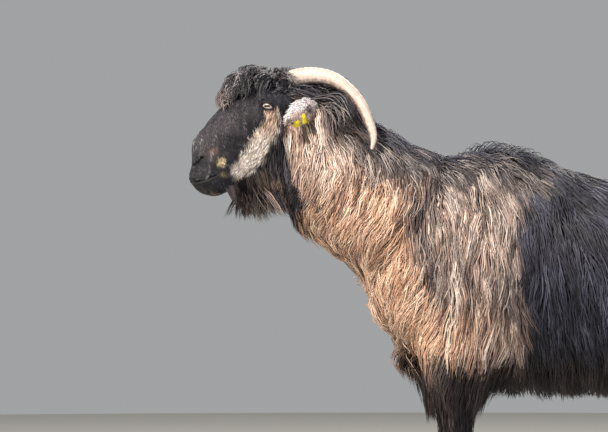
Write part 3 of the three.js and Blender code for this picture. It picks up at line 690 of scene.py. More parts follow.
def mass_blank(name: str, mass: Mass, around: int, rings: int) -> Object:
    """A mass as a closed form."""
    inset = 1.0 / rings

    def shape(share: Array, turn: Array) -> Array:
        """Rings over the mass, with both ends drawn to a point."""
        s = mix(mass.first, mass.last, np.clip((share - inset) / (1 - 2 * inset), 0, 1))
        rim = mass.point(s, turn)
        middle = (mass.point(s, np.zeros_like(s)) + mass.point(s, np.full_like(s, math.pi))) / 2
        end = (share < inset / 2) | (share > 1 - inset / 2)
        return np.where(end[:, None], middle, rim)

    return rolled(name, around, rings, shape)


def united(objects: Sequence[Object], name: str) -> Object:
    """Joins objects into one with several shells."""
    deselect()
    for obj in objects:
        obj.select_set(True)
    bpy.context.view_layer.objects.active = objects[0]
    bpy.ops.object.join()
    return named(name)


def combine(obj: Object, other: Object, operation: str) -> None:
    """Adds or cuts another object, which is then removed."""
    apply_modifier(obj, "BOOLEAN", operation=operation, object=other, solver="MANIFOLD")
    bpy.data.objects.remove(other, do_unlink=True)


def finished(obj: Object, material: Material, angle: float | None = None) -> Object:
    """Gives an object one material and smooth shading, up to an angle in degrees where one is given."""
    only(obj)
    if angle is None:
        bpy.ops.object.shade_smooth()
    else:
        bpy.ops.object.shade_smooth_by_angle(angle=math.radians(angle))
    obj.data.materials.clear()
    obj.data.materials.append(material)
    faces = obj.data.polygons
    faces.foreach_set("material_index", np.zeros(len(faces), np.int32))
    return obj


def write(obj: Object, name: str, values: Array) -> None:
    """Writes an attribute of an object's points: one number for each, or three."""
    kind, key = ("FLOAT", "value") if values.ndim == 1 else ("FLOAT_VECTOR", "vector")
    layer = obj.data.attributes.new(name, kind, "POINT")
    layer.data.foreach_set(key, values.astype(np.float32).ravel())


def paint(obj: Object, colours: Array) -> None:
    """Writes the colour of each point."""
    layer = obj.data.attributes.new(COLOUR, "FLOAT_COLOR", "POINT")
    layer.data.foreach_set("color", np.c_[colours, np.ones(len(colours))].astype(np.float32).ravel())


def nearest_of(points: Array, p: Array) -> Array:
    """The number of the point that lies nearest to each place."""
    tree = KDTree(len(points))
    for k, point in enumerate(points):
        tree.insert(point, k)
    tree.balance()
    return np.array([tree.find(place)[1] for place in p])


# ---- Materials ----------
class Nodes:
    """The node tree of one new material."""

    def __init__(self, name: str) -> None:
        """Makes the material with its Principled shader alone."""
        self.material = bpy.data.materials.new(name)
        self.material.use_nodes = True
        self.tree = self.material.node_tree
        self.shader = self.tree.nodes["Principled BSDF"]

    def add(self, kind: str, settings: dict | None = None, links: dict | None = None) -> bpy.types.Node:
        """Adds a node.

        Args:
            kind: Its type, without the leading ShaderNode.
            settings: Properties by name, and values of inputs by name or number.
            links: Sockets that feed its inputs, by name or number.

        Returns:
            The node.
        """
        node = self.tree.nodes.new("ShaderNode" + kind)
        for key, value in (settings or {}).items():
            if isinstance(key, str) and hasattr(node, key):
                setattr(node, key, value)
            else:
                node.inputs[key].default_value = value
        for key, socket in (links or {}).items():
            self.tree.links.new(socket, node.inputs[key])
        return node

    def set(self, **values: object) -> None:
        """Sets the shader's own sockets, with _ for a space."""
        for key, value in values.items():
            self.shader.inputs[key.replace("_", " ")].default_value = value

    def link(self, socket: Socket, name: str) -> None:
        """Feeds one of the shader's sockets."""
        self.tree.links.new(socket, self.shader.inputs[name])

    def attribute(self, name: str, output: str = "Color") -> Socket:
        """What an attribute of the points holds."""
        return self.add("Attribute", {"attribute_name": name}).outputs[output]

    def place(self) -> Socket:
        """The place on the object, in metres."""
        return self.add("TexCoord").outputs["Object"]

    def drawn_out(self, place: Socket, share: float) -> Socket:
        """A place of which the height counts only by a share, so that a pattern is drawn out along Z."""
        return self.add("Mapping", {"Scale": (1, 1, share)}, {"Vector": place}).outputs["Vector"]

    def noise(self, place: Socket, scale: float, detail: float, **more: float) -> Socket:
        """Cloudy noise from 0 to 1."""
        settings = {"Scale": scale, "Detail": detail, **more}
        return self.add("TexNoise", settings, {"Vector": place}).outputs["Fac"]

    def calc(self, operation: str, a: object, b: object = 0.0) -> Socket:
        """One sum on sockets or numbers."""
        given = {0: a, 1: b}
        sockets = {k: v for k, v in given.items() if isinstance(v, Socket)}
        values = {k: v for k, v in given.items() if k not in sockets}
        return self.add("Math", {"operation": operation, **values}, sockets).outputs["Value"]

    def span(self, value: Socket, to: Pair = (0.0, 1.0), of: Pair = (0.0, 1.0)) -> Socket:
        """A value carried from the range `of` to the range `to`."""
        settings = {"From Min": of[0], "From Max": of[1], "To Min": to[0], "To Max": to[1]}
        return self.add("MapRange", settings, {"Value": value}).outputs["Result"]

    def blend(self, share: Socket, first: Socket | str, second: str) -> Socket:
        """A colour between two, of which the first may be a socket."""
        settings, links = {"data_type": "RGBA", 7: rgba(second)}, {0: share}
        (settings if isinstance(first, str) else links)[6] = rgba(first) if isinstance(first, str) else first
        return self.add("Mix", settings, links).outputs[2]

    def tint(self, by: Socket) -> None:
        """Colours the shader by the painted colour, made darker or brighter by a factor."""
        scaled = self.add("VectorMath", {"operation": "SCALE"}, {0: self.attribute(COLOUR), "Scale": by})
        self.link(scaled.outputs["Vector"], "Base Color")

    def relief(self, height: Socket, strength: float, depth: float) -> None:
        """Bumps the surface by a height, with a depth in millimetres."""
        bumps = self.add("Bump", {"Strength": strength, "Distance": depth / 1000}, {"Height": height})
        self.link(bumps.outputs["Normal"], "Normal")


def rgba(hex_colour: str) -> tuple[float, float, float, float]:
    """An sRGB hex colour for a socket."""
    return (*linear(hex_colour), 1.0)


@dataclass(frozen=True)
class HairFinish:
    """Goat hair: coarse and smooth, so that each tuft has a soft streak of light along it."""

    name: str = "goat_hair"
    grain: float = 0.9  # width of the fine hairs within a tuft, in millimetres
    roughness: float = 0.52

    def make(self) -> Material:
        """The material of every tuft, coloured by its own attribute."""
        n = Nodes(self.name)
        fine = n.noise(n.drawn_out(n.place(), 0.12), 1000 / self.grain / 3, 2.0)
        n.tint(n.span(fine, to=(0.62, 1.3), of=(0.3, 0.7)))
        n.set(Roughness=self.roughness, Specular_IOR_Level=0.3)
        return n.material


@dataclass(frozen=True)
class SkinFinish:
    """Skin under short hair: matt, with the flat hair's fine furrows, and smooth where it is bare."""

    name: str = "goat_skin"
    furrow: float = 1.1  # width of the furrows in millimetres
    rise: float = 0.5  # their depth in millimetres
    pore: float = 1.6  # distance between the pores of bare skin in millimetres

    def make(self) -> Material:
        """The material of the skin, coloured by its own attribute, bare where the mask says."""
        n = Nodes(self.name)
        bare, place = n.attribute("bare", "Fac"), n.place()
        hair = n.noise(n.drawn_out(place, 0.3), 1000 / self.furrow / 3, 3.0)
        pores = n.add("TexVoronoi", {"Scale": 1000 / self.pore}, {"Vector": place}).outputs["Distance"]
        n.relief(n.add("Mix", {}, {0: bare, 2: hair, 3: pores}).outputs[0], 0.7, self.rise)
        n.tint(n.span(hair, to=(0.6, 1.25), of=(0.3, 0.7)))
        n.link(n.span(bare, to=(0.72, 0.42)), "Roughness")
        n.set(Specular_IOR_Level=0.35)
        return n.material


@dataclass(frozen=True)
class HornFinish:
    """Horn: keratin with fine lengthwise fibres, waxy where it is worn smooth."""

    name: str = "horn_keratin"
    fibre: float = 0.8  # width of a fibre in millimetres

    def make(self) -> Material:
        """The material of the horns, coloured by their attribute."""
        n = Nodes(self.name)
        along = n.attribute("fibre", "Vector")
        fibre = n.noise(n.drawn_out(along, 0.06), 1000 / self.fibre / 4, 4.0, Roughness=0.6)
        blotch = n.noise(along, 60.0, 3.0)
        n.tint(n.span(n.calc("MULTIPLY", fibre, blotch), to=(0.72, 1.1), of=(0.12, 0.4)))
        n.relief(fibre, 0.5, 0.4)
        n.link(n.span(blotch, to=(0.36, 0.6)), "Roughness")
        n.set(IOR=1.54, Specular_IOR_Level=0.5)
        return n.material


@dataclass(frozen=True)
class HoofFinish:
    """Hoof: dark keratin with growth bands, dull from dust and wear."""

    name: str = "hoof_keratin"
    band: float = 3.5  # height of a growth band in millimetres

    def make(self) -> Material:
        """The material of the claws and dew claws."""
        n = Nodes(self.name)
        place = n.place()
        wave = {"bands_direction": "Z", "Scale": 1000 / self.band / 20, "Distortion": 2.5, "Detail": 3.0}
        band = n.add("TexWave", wave, {"Vector": place}).outputs["Fac"]
        grime = n.noise(place, 90.0, 5.0)
        both = n.calc("MULTIPLY", band, grime)
        n.link(n.blend(both, "#141110", "#43382f"), "Base Color")
        n.link(n.span(grime, to=(0.45, 0.75)), "Roughness")
        n.relief(both, 0.6, 0.6)
        n.set(IOR=1.54)
        return n.material


@dataclass(frozen=True)
class EyeFinish:
    """An eye of cast glass: a pale iris with a level slit, under a clear wet front."""

    name: str = "glass_eye"
    iris: float = 9.6  # radius in millimetres
    slit_half: float = 5.6
    slit_high: float = 1.9

    def make(self) -> Material:
        """The material of both eyes, drawn by their own attribute in millimetres."""
        n = Nodes(self.name)
        outputs = n.add("SeparateXYZ", {}, {0: n.attribute("iris", "Vector")}).outputs
        x, y = outputs["X"], outputs["Y"]
        across = n.calc("POWER", n.calc("ABSOLUTE", n.calc("DIVIDE", x, self.slit_half)), 4.0)
        high = n.calc("POWER", n.calc("ABSOLUTE", n.calc("DIVIDE", y, self.slit_high)), 3.0)
        far = n.calc("SQRT", n.calc("ADD", n.calc("MULTIPLY", x, x), n.calc("MULTIPLY", y, y)))
        rays = n.add("CombineXYZ", {}, {"X": n.calc("ARCTAN2", y, x), "Y": n.calc("MULTIPLY", far, 0.08)})
        iris = n.add("ValToRGB", {}, {"Fac": n.noise(rays.outputs["Vector"], 9.0, 5.0)})
        for stop, at, colour in zip(iris.color_ramp.elements, (0.3, 0.68), ("#7d6c60", "#d6c6ba")):
            stop.position, stop.color = at, rgba(colour)
        rim = n.span(far, of=(self.iris - 1.8, self.iris - 0.2))
        outside = n.span(far, of=(self.iris - 0.1, self.iris + 0.6))
        pupil = n.span(n.calc("ADD", across, high), of=(1.25, 0.8))
        drawn = n.blend(rim, iris.outputs["Color"], "#4a3a28")
        drawn = n.blend(outside, drawn, "#3b302c")
        n.link(n.blend(pupil, drawn, "#07070a"), "Base Color")
        n.set(Roughness=0.3, IOR=1.38, Coat_Weight=1.0, Coat_Roughness=0.03)
        return n.material


@dataclass(frozen=True)
class TagFinish:
    """Ear tags of moulded polyurethane: bright and slightly soft, scuffed by use."""

    name: str = "tag_polyurethane"

    def make(self) -> Material:
        """The material of the tags."""
        n = Nodes(self.name)
        scuff = n.noise(n.place(), 260.0, 4.0)
        n.link(n.blend(scuff, "#cdb60f", "#f2e21c"), "Base Color")
        n.link(n.span(scuff, to=(0.32, 0.55)), "Roughness")
        n.relief(scuff, 0.25, 0.3)
        n.set(IOR=1.5)
        return n.material


@dataclass(frozen=True)
class FloorFinish:
    """A studio floor of matt pale paper."""

    name: str = "studio_paper"

    def make(self) -> Material:
        """The floor's material."""
        n = Nodes(self.name)
        n.link(n.blend(n.noise(n.place(), 40.0, 3.0), "#a2a19e", "#a9a8a5"), "Base Color")
        n.set(Roughness=0.9, Specular_IOR_Level=0.2)
        return n.material


# ---- The head ----------
@dataclass(frozen=True)
class Swell:
    """A swelling or hollow of the bare head, at x, distance from the middle and z."""

    at: Triple
    reach: Triple
    rise: float


@dataclass(frozen=True)
class EyeSocket:
    """An eye's place and the opening of its lids, in the goat's own directions."""

    at: Triple = Row.EYE_AT
    radius: float = 14.5
    lid: float = 2.4  # how far the lids lie over the eye
    half_long: float = 10.4
    upper: float = 6.2
    lower: float = 5.4
    lean: float = 0.22  # how far the front corner is tipped up, in radians
    facing: Triple = (-0.26, 1.0, 0.10)

    def centre(self, side: float) -> Array:
        """The middle of the eye on one side."""
        x, y, z = self.at
        return np.array([x, side * y, z])

    def axes(self, side: float) -> tuple[Array, Array, Array]:
        """The ways forwards, up and out of the eye on one side."""
        x, y, z = self.facing
        out = unit(np.array([x, side * y, z]))
        up = sideways(np.array([0.0, 0.0, 1.0]), out)
        forwards = sideways(np.array([-1.0, 0.0, 0.0]), out)
        return unit(forwards - dot(forwards, up) * up), up, out

    def rim(self, turn: Array) -> tuple[Array, Array]:
        """The opening's edge forwards and up of its middle, at turns from the front corner."""
        forwards = self.half_long * np.cos(turn)
        tall = np.where(np.sin(turn) > 0, self.upper, self.lower)
        up = tall * np.sin(turn) * (1 - 0.22 * np.cos(turn) ** 4)
        return forwards + 1.4 * np.cos(turn) ** 9, up + self.lean * forwards

    def spread(self, p: Array, side: float) -> tuple[Array, Array, Array]:
        """How far points lie from the opening's middle, where its edge is at 1, then up, then out."""
        forwards, up, out = self.axes(side)
        d = p - self.centre(side)
        f, u = d @ forwards, d @ up
        u = u - self.lean * f
        tall = np.where(u > 0, self.upper, self.lower)
        return np.hypot(f / self.half_long, u / tall), u, d @ out

    def rim_points(self, side: float, turn: Array, radius: float) -> Array:
        """Points over the opening's edge, at a distance from the eye's middle."""
        forwards, up, out = self.axes(side)
        f, u = self.rim(turn)
        deep = np.sqrt(np.maximum(radius * radius - f * f - u * u, 0))
        return self.centre(side) + np.outer(f, forwards) + np.outer(u, up) + np.outer(deep, out)


EYE = EyeSocket()


def folded(p: Array) -> Array:
    """Points with the left side laid on the right one."""
    return p * [1, 0, 1] + np.abs(p[:, 1:2]) * CROSS


@dataclass
class HeadSkin:
    """The bare head in full detail: muzzle, lips, nostrils, orbits and folds."""

    around: int = 216
    rings: int = 204
    corner: Pair = (114.0, -16.0)  # of the mouth, as place on the head and height over it
    front: Pair = (159.0, 1.0)
    swells: tuple[Swell, ...] = (
        Swell((-389, 56, 891), (22, 22, 16), 7), Swell((-360, 58, 872), (19, 19, 19), 5),
        Swell((-404, 54, 846), (24, 22, 15), 4.5), Swell((-415, 46, 862), (15, 15, 15), -4),
        Swell((-383, 64, 868), (13, 13, 13), -4), Swell((-364, 50, 808), (34, 34, 34), 5),
        Swell((-440, 44, 820), (30, 20, 10), 2.5), Swell((-510, 20, 780), (13, 10, 10), 4.5),
        Swell((-497, 26, 789), (9, 10, 5), -2), Swell((-504, 24, 748), (14, 14, 12), 3),
        Swell((-490, 14, 717), (16, 16, 12), 2), Swell((-524, 12, 742), (12, 12, 9), 2.0),
        Swell((-512, 0, 719), (12, 20, 9), 1.2), Swell((-530, 0, 756), (14, 2.6, 16), -2.2),
        Swell((-528, 7, 752), (10, 5, 10), 1.6), Swell((-480, 28, 747), (10, 12, 10), -2),
        Swell((-418, 0, 905), (40, 40, 24), 7), Swell((-516, 16, 808), (12, 9, 12), 2.0),
        Swell((-500, 30, 806), (12, 12, 14), 2.4),
    )
    nostril: tuple[Triple, ...] = (
        (-525, 14, 764), (-521, 19, 765), (-513, 23.5, 770), (-505, 27, 778),
    )
    nostril_width: float = 3.1
    nostril_depth: float = 9.0
    gap: float = 0.15  # between the eye and its hollow
    lid_middle: float = 1.5  # how far the middle of a lid's edge lies over the eye
    lid_thick: Pair = (1.75, 1.35)  # half the thickness of the upper and the lower lid's edge
    muzzle: float = -455.0  # x at which the muzzle ends
    softness: float = 1.6  # how softly the lids run into the face, in millimetres

    def mouth_line(self) -> Array:
        """The line between the lips on one side, from the front to the corner."""
        u = np.linspace(0, 1, 30)
        s = mix(self.corner[0], self.front[0], u)
        up = mix(self.corner[1], self.front[1], u) - 3.5 * np.sin(u * math.pi) - 2.0 * bump(u, 0.1)
        return HEAD.place(s, up, HEAD.reach(s, up))

    def from_line(self, p: Array, line: Array) -> Array:
        """Distances of the muzzle's points from a line and its mirror image, and FAR elsewhere."""
        on_muzzle = p[:, 0] < self.muzzle
        near = folded(p[on_muzzle])
        best = np.full(len(near), 1e9)
        for a, b in zip(line[:-1], line[1:]):
            d = b - a
            t = np.clip((near - a) @ d / max(d @ d, 1e-9), 0, 1)
            best = np.minimum(best, np.linalg.norm(near - a - t[:, None] * d, axis=1))
        far = np.full(len(p), FAR)
        far[on_muzzle] = best
        return far

    def relief(self, p: Array) -> Array:
        """How far the head's surface stands over its plain mass."""
        x, z = p[:, 0], p[:, 2]
        rise = np.zeros(len(p))
        for swell in self.swells:
            rise += swell.rise * np.exp(-(((folded(p) - swell.at) / swell.reach) ** 2).sum(axis=1))
        far = self.from_line(p, self.mouth_line())
        lip = np.interp(x, (-532, -500, -470), (1.9, 1.6, 0.6))
        rise += lip * bump(far - 4.4, 2.8) - 4.0 * bump(far, 1.5)
        rise -= 0.9 * bump(far - 9.5, 2.2) * (HEAD.above(p) > -20)
        # Soft creases behind the mouth's corner and over the nostril.
        wrinkle = np.sin((x + 0.5 * z) * 2 * math.pi / 6.5)
        rise += 0.35 * wrinkle * bump(np.hypot(x + 468, z - 748), 14)
        rise += 0.3 * np.sin(z * 2 * math.pi / 5.5) * bump(np.hypot(x + 506, z - 795), 12)
        return rise + 0.35 * ripple(p, 17, 21) + 0.15 * ripple(p, 6, 22)

    def orbit(self, p: Array, side: float) -> Array:
        """Folds of the lids: a crease over the eye, a brow fold and a soft bag under it."""
        spread, up, _ = EYE.spread(p, side)
        near = (np.linalg.norm(p - EYE.centre(side), axis=1) < 34) & (p[:, 1] * side > 30)
        over = -1.5 * bump(spread - 1.62, 0.17) + 1.7 * bump(spread - 2.05, 0.3)
        over += -0.7 * bump(spread - 2.65, 0.2)
        under = -0.9 * bump(spread - 1.75, 0.16) + 0.8 * bump(spread - 2.1, 0.25)
        under += -0.5 * bump(spread - 2.6, 0.2)
        fine = 0.25 * np.sin(spread * 22) * bump(spread - 2.1, 0.8)
        share = ease(-2.5, 2.5, up)
        return np.where(near, mix(under, over, share) + fine, 0.0)

    def over_eye(self, base: Array, way: Array, side: float) -> Array:
        """How far points must move along a way to lie on the lids, or far below zero where they miss."""
        from_eye = base - EYE.centre(side)
        radius = EYE.radius + EYE.lid
        b = dot(from_eye, way)[:, 0]
        c = dot(from_eye, from_eye)[:, 0] - radius * radius
        root = b * b - c
        return np.where(root > 0, -b + np.sqrt(np.maximum(root, 0)), -99.0)

    def build(self) -> Object:
        """The head as a closed form with its nostrils pressed in, with cuts for the eyes still to come."""
        inset = 1.5 / self.rings
        line = np.array(self.nostril)

        def shape(share: Array, turn: Array) -> Array:
            """Rings over the head, denser towards the muzzle, with every fold on them."""
            u = np.clip((share - inset) / (1 - 2 * inset), 0, 1)
            s = mix(HEAD.first, HEAD.last, u + 0.045 * np.sin(2 * math.pi * u))
            plain = HEAD.point(s, turn)
            way = unit(HEAD.point(s, turn, 1.0) - plain)
            rise = self.relief(plain)
            for side in SIDES.values():
                lids = self.over_eye(plain, way, side)
                high = np.maximum(rise, lids)
                both = np.exp((rise - high) / self.softness) + np.exp((lids - high) / self.softness)
                rise = high + self.softness * np.log(both)
            p = plain + rise[:, None] * way
            for side in SIDES.values():
                p = p + self.orbit(p, side)[:, None] * way
            deep = self.nostril_depth * np.exp(-((self.from_line(p, line) / self.nostril_width) ** 4))
            p = p - (deep * ease(-0.2, 0.5, -p[:, 0] - 498))[:, None] * way
            middle = HEAD.place(s, HEAD.section(s).widest, np.zeros_like(s))
            end = (share < inset / 2) | (share > 1 - inset / 2)
            return np.where(end[:, None], middle, p)

        return rolled("head_skin", self.around, self.rings, shape)

    def opening(self, side: float) -> Object:
        """A block with the outline of the lids' opening, from inside the eye out."""
        forwards, up, out = EYE.axes(side)

        def shape(share: Array, turn: Array) -> Array:
            """Four rings: a point, the near rim, the far rim and a point."""
            f, u = EYE.rim(turn)
            reach = np.interp(share, (0, 1 / 3, 2 / 3, 1), (0, 0, 34, 34))
            size = np.where((share < 0.1) | (share > 0.9), 0.0, 1.0)
            p = np.outer(f * size, forwards) + np.outer(u * size, up) + np.outer(reach, out)
            return EYE.centre(side) + p

        return rolled("opening", 72, 3, shape)

    def cavity(self, side: float) -> Object:
        """The hollow that the eye sits in."""
        return ball("cavity", 64, 32, lambda flat: EYE.centre(side) + (EYE.radius + self.gap) * flat)

    def lid_rim(self, side: float) -> Object:
        """The rounded edge of both lids, thicker over the eye than under it."""
        bead = 0.25  # of the ring that is bent to the rim
        segments = {"major_segments": 96, "minor_segments": 12}
        obj = primitive("lid_rim", "torus", major_radius=1, minor_radius=bead, **segments)
        flat = coordinates(obj)
        turn = np.arctan2(flat[:, 1], flat[:, 0])
        out_by = (np.hypot(flat[:, 0], flat[:, 1]) - 1) / bead
        up_by = flat[:, 2] / bead
        over_eye = EYE.radius + self.lid_middle
        middle = EYE.rim_points(side, turn, over_eye)
        ahead = EYE.rim_points(side, turn + 0.01, over_eye)
        normal = unit(middle - EYE.centre(side))
        across = np.cross(unit(ahead - middle), normal)
        corner = EYE.rim_points(side, np.zeros_like(turn), 1e-3)
        across = across * np.sign(dot(across, middle - corner))
        thick = np.where(np.sin(turn) > 0, *self.lid_thick) * (1 - 0.35 * np.abs(np.cos(turn)) ** 6)
        p = middle + (thick * up_by)[:, None] * normal + (thick * out_by)[:, None] * across
        set_coordinates(obj, ROW.metres(p))
        return tidy_mesh(obj)


# ---- Ears and their tags ----------
@dataclass(frozen=True)
class Ear:
    """A thin cupped leaf of an ear, held out to the side."""

    root: Triple = (-298, 56, 875)
    tip: Triple = (-345, 116, 848)
    width: float = 42
    thick: float = 3.2
    cup: float = 9
    face: Triple = (0.25, 1.0, 0.35)

    def frame(self, side: float) -> tuple[Array, Array, Array, Array]:
        """Its root, its length, the way across it and the way out of its back."""
        root = np.array(self.root) * [1, side, 1]
        length = np.array(self.tip) * [1, side, 1] - root
        across = unit(np.cross(length, np.array(self.face) * [1, side, 1])) * -side
        normal = unit(np.cross(across, length)) * -side
        return root, length, across, normal

    def place(self, side: float, u: Array, share: Array, out: Array) -> Array:
        """Points at shares u from root to tip and -1 to 1 across, out from its middle sheet."""
        root, length, across, normal = self.frame(side)
        belly = 0.42 + 0.58 * np.sin(math.pi * (0.2 + 0.75 * u))
        half = (self.width / 2) * belly * np.sqrt(np.maximum(0.03, 1 - u**5))
        droop = self.cup * (share * share - 0.35) + 5 * u * u
        return root + np.outer(u, length) + np.outer(half * share, across) + np.outer(out - droop, normal)

    def build(self, side: float) -> Object:
        """The ear as a closed form with a rolled edge."""

        def shape(share: Array, turn: Array) -> Array:
            """Rings from inside the head to the rounded tip."""
            u = np.clip(mix(-0.12, 1.0, (share - 0.02) / 0.96), -0.12, 1.0)
            end = (share < 0.01) | (share > 0.99)
            wide = np.where(end, 0.0, 1.0)
            thick = 0.7 * self.thick * (1 - 0.55 * np.clip(u, 0, 1)) * (1 + 0.25 * np.sin(turn) ** 8)
            ridge = 0.35 * np.cos(9 * turn) * (np.cos(turn) < 0)
            out = wide * np.cos(turn) * (thick + ridge * (1 - u))
            return self.place(side, u, wide * np.sin(turn), out)

        return rolled("ear_blank", 56, 50, shape)

    def sheet(self, side: float, u: Array, share: Array, back: Array) -> tuple[Array, Array]:
        """Points on the back (+1) or the front (-1) of the ear, with the way out of it there."""
        thick = 0.7 * self.thick * (1 - 0.55 * u)
        swell = np.sqrt(np.clip(1 - share * share, 0.02, 1))
        p = self.place(side, u, share, back * thick * swell)
        step = 0.02
        ahead = self.place(side, u + step, share, back * thick * swell)
        beside = self.place(side, u, share + step, back * thick * swell)
        normal = unit(np.cross(ahead - p, beside - p))
        way = self.frame(side)[3]
        normal = normal * np.sign(dot(normal, np.broadcast_to(way, normal.shape)) + 1e-9)
        return p, normal * back[:, None]


EAR = Ear()


@dataclass
class EarTags:
    """Two yellow tags clipped over the lower rim of the left ear."""

    # Place along the ear, and reach from its rim outwards (-) and inwards.
    places: tuple[Triple, ...] = ((0.62, -3, 16), (0.82, -8, 6))
    width: float = 11
    wall: float = 1.7
    stud: float = 2.6  # radius of the stud that closes a tag

    def build(self, number: int, material: Material) -> Object:
        """One tag: two plates joined round the rim, with a stud through them."""
        side = SIDES["left"]
        along, start, end = self.places[number - 1]
        u, one = np.array([along]), np.ones(1)
        rim = EAR.place(side, u, -one, 0 * one)[0]
        inner = EAR.place(side, u, -0.2 * one, 0 * one)[0]
        ahead = EAR.place(side, u + 0.1, -one, 0 * one)[0]
        reach = unit(inner - rim)
        out = unit(np.cross(unit(ahead - rim), reach))
        face = unit(np.cross(reach, out))
        obj = primitive(f"ear_tag_{number}_shell", "cube", size=1)
        apply_modifier(obj, "BEVEL", width=0.26, segments=5, limit_method="NONE")
        flat = coordinates(obj)
        thick = self.wall + EAR.thick
        p = rim + np.outer(flat[:, 0] * self.width, face)
        p = p + np.outer(flat[:, 1] * (end - start) + (start + end) / 2, reach)
        p = p + np.outer(flat[:, 2] * 2 * thick, out)
        set_coordinates(obj, ROW.metres(p))
        stud = self.button(rim + reach * mix(start, end, 0.62), face, reach, out, thick)
        combine(obj, stud, "UNION")
        combine(obj, EAR.build(side), "DIFFERENCE")
        return finished(obj, material, 40)

    def button(self, at: Array, face: Array, reach: Array, out: Array, thick: float) -> Object:
        """The stud, a little proud of both plates."""
        obj = primitive("stud", "cylinder", vertices=32, radius=1, depth=2)
        apply_modifier(obj, "BEVEL", width=0.2, segments=3, limit_method="ANGLE")
        flat = coordinates(obj)
        p = at + np.outer(flat[:, 0] * self.stud, face) + np.outer(flat[:, 1] * self.stud, reach)
        p = p + np.outer(flat[:, 2] * (thick + 1.1), out)
        set_coordinates(obj, ROW.metres(p))
        return tidy_mesh(obj)


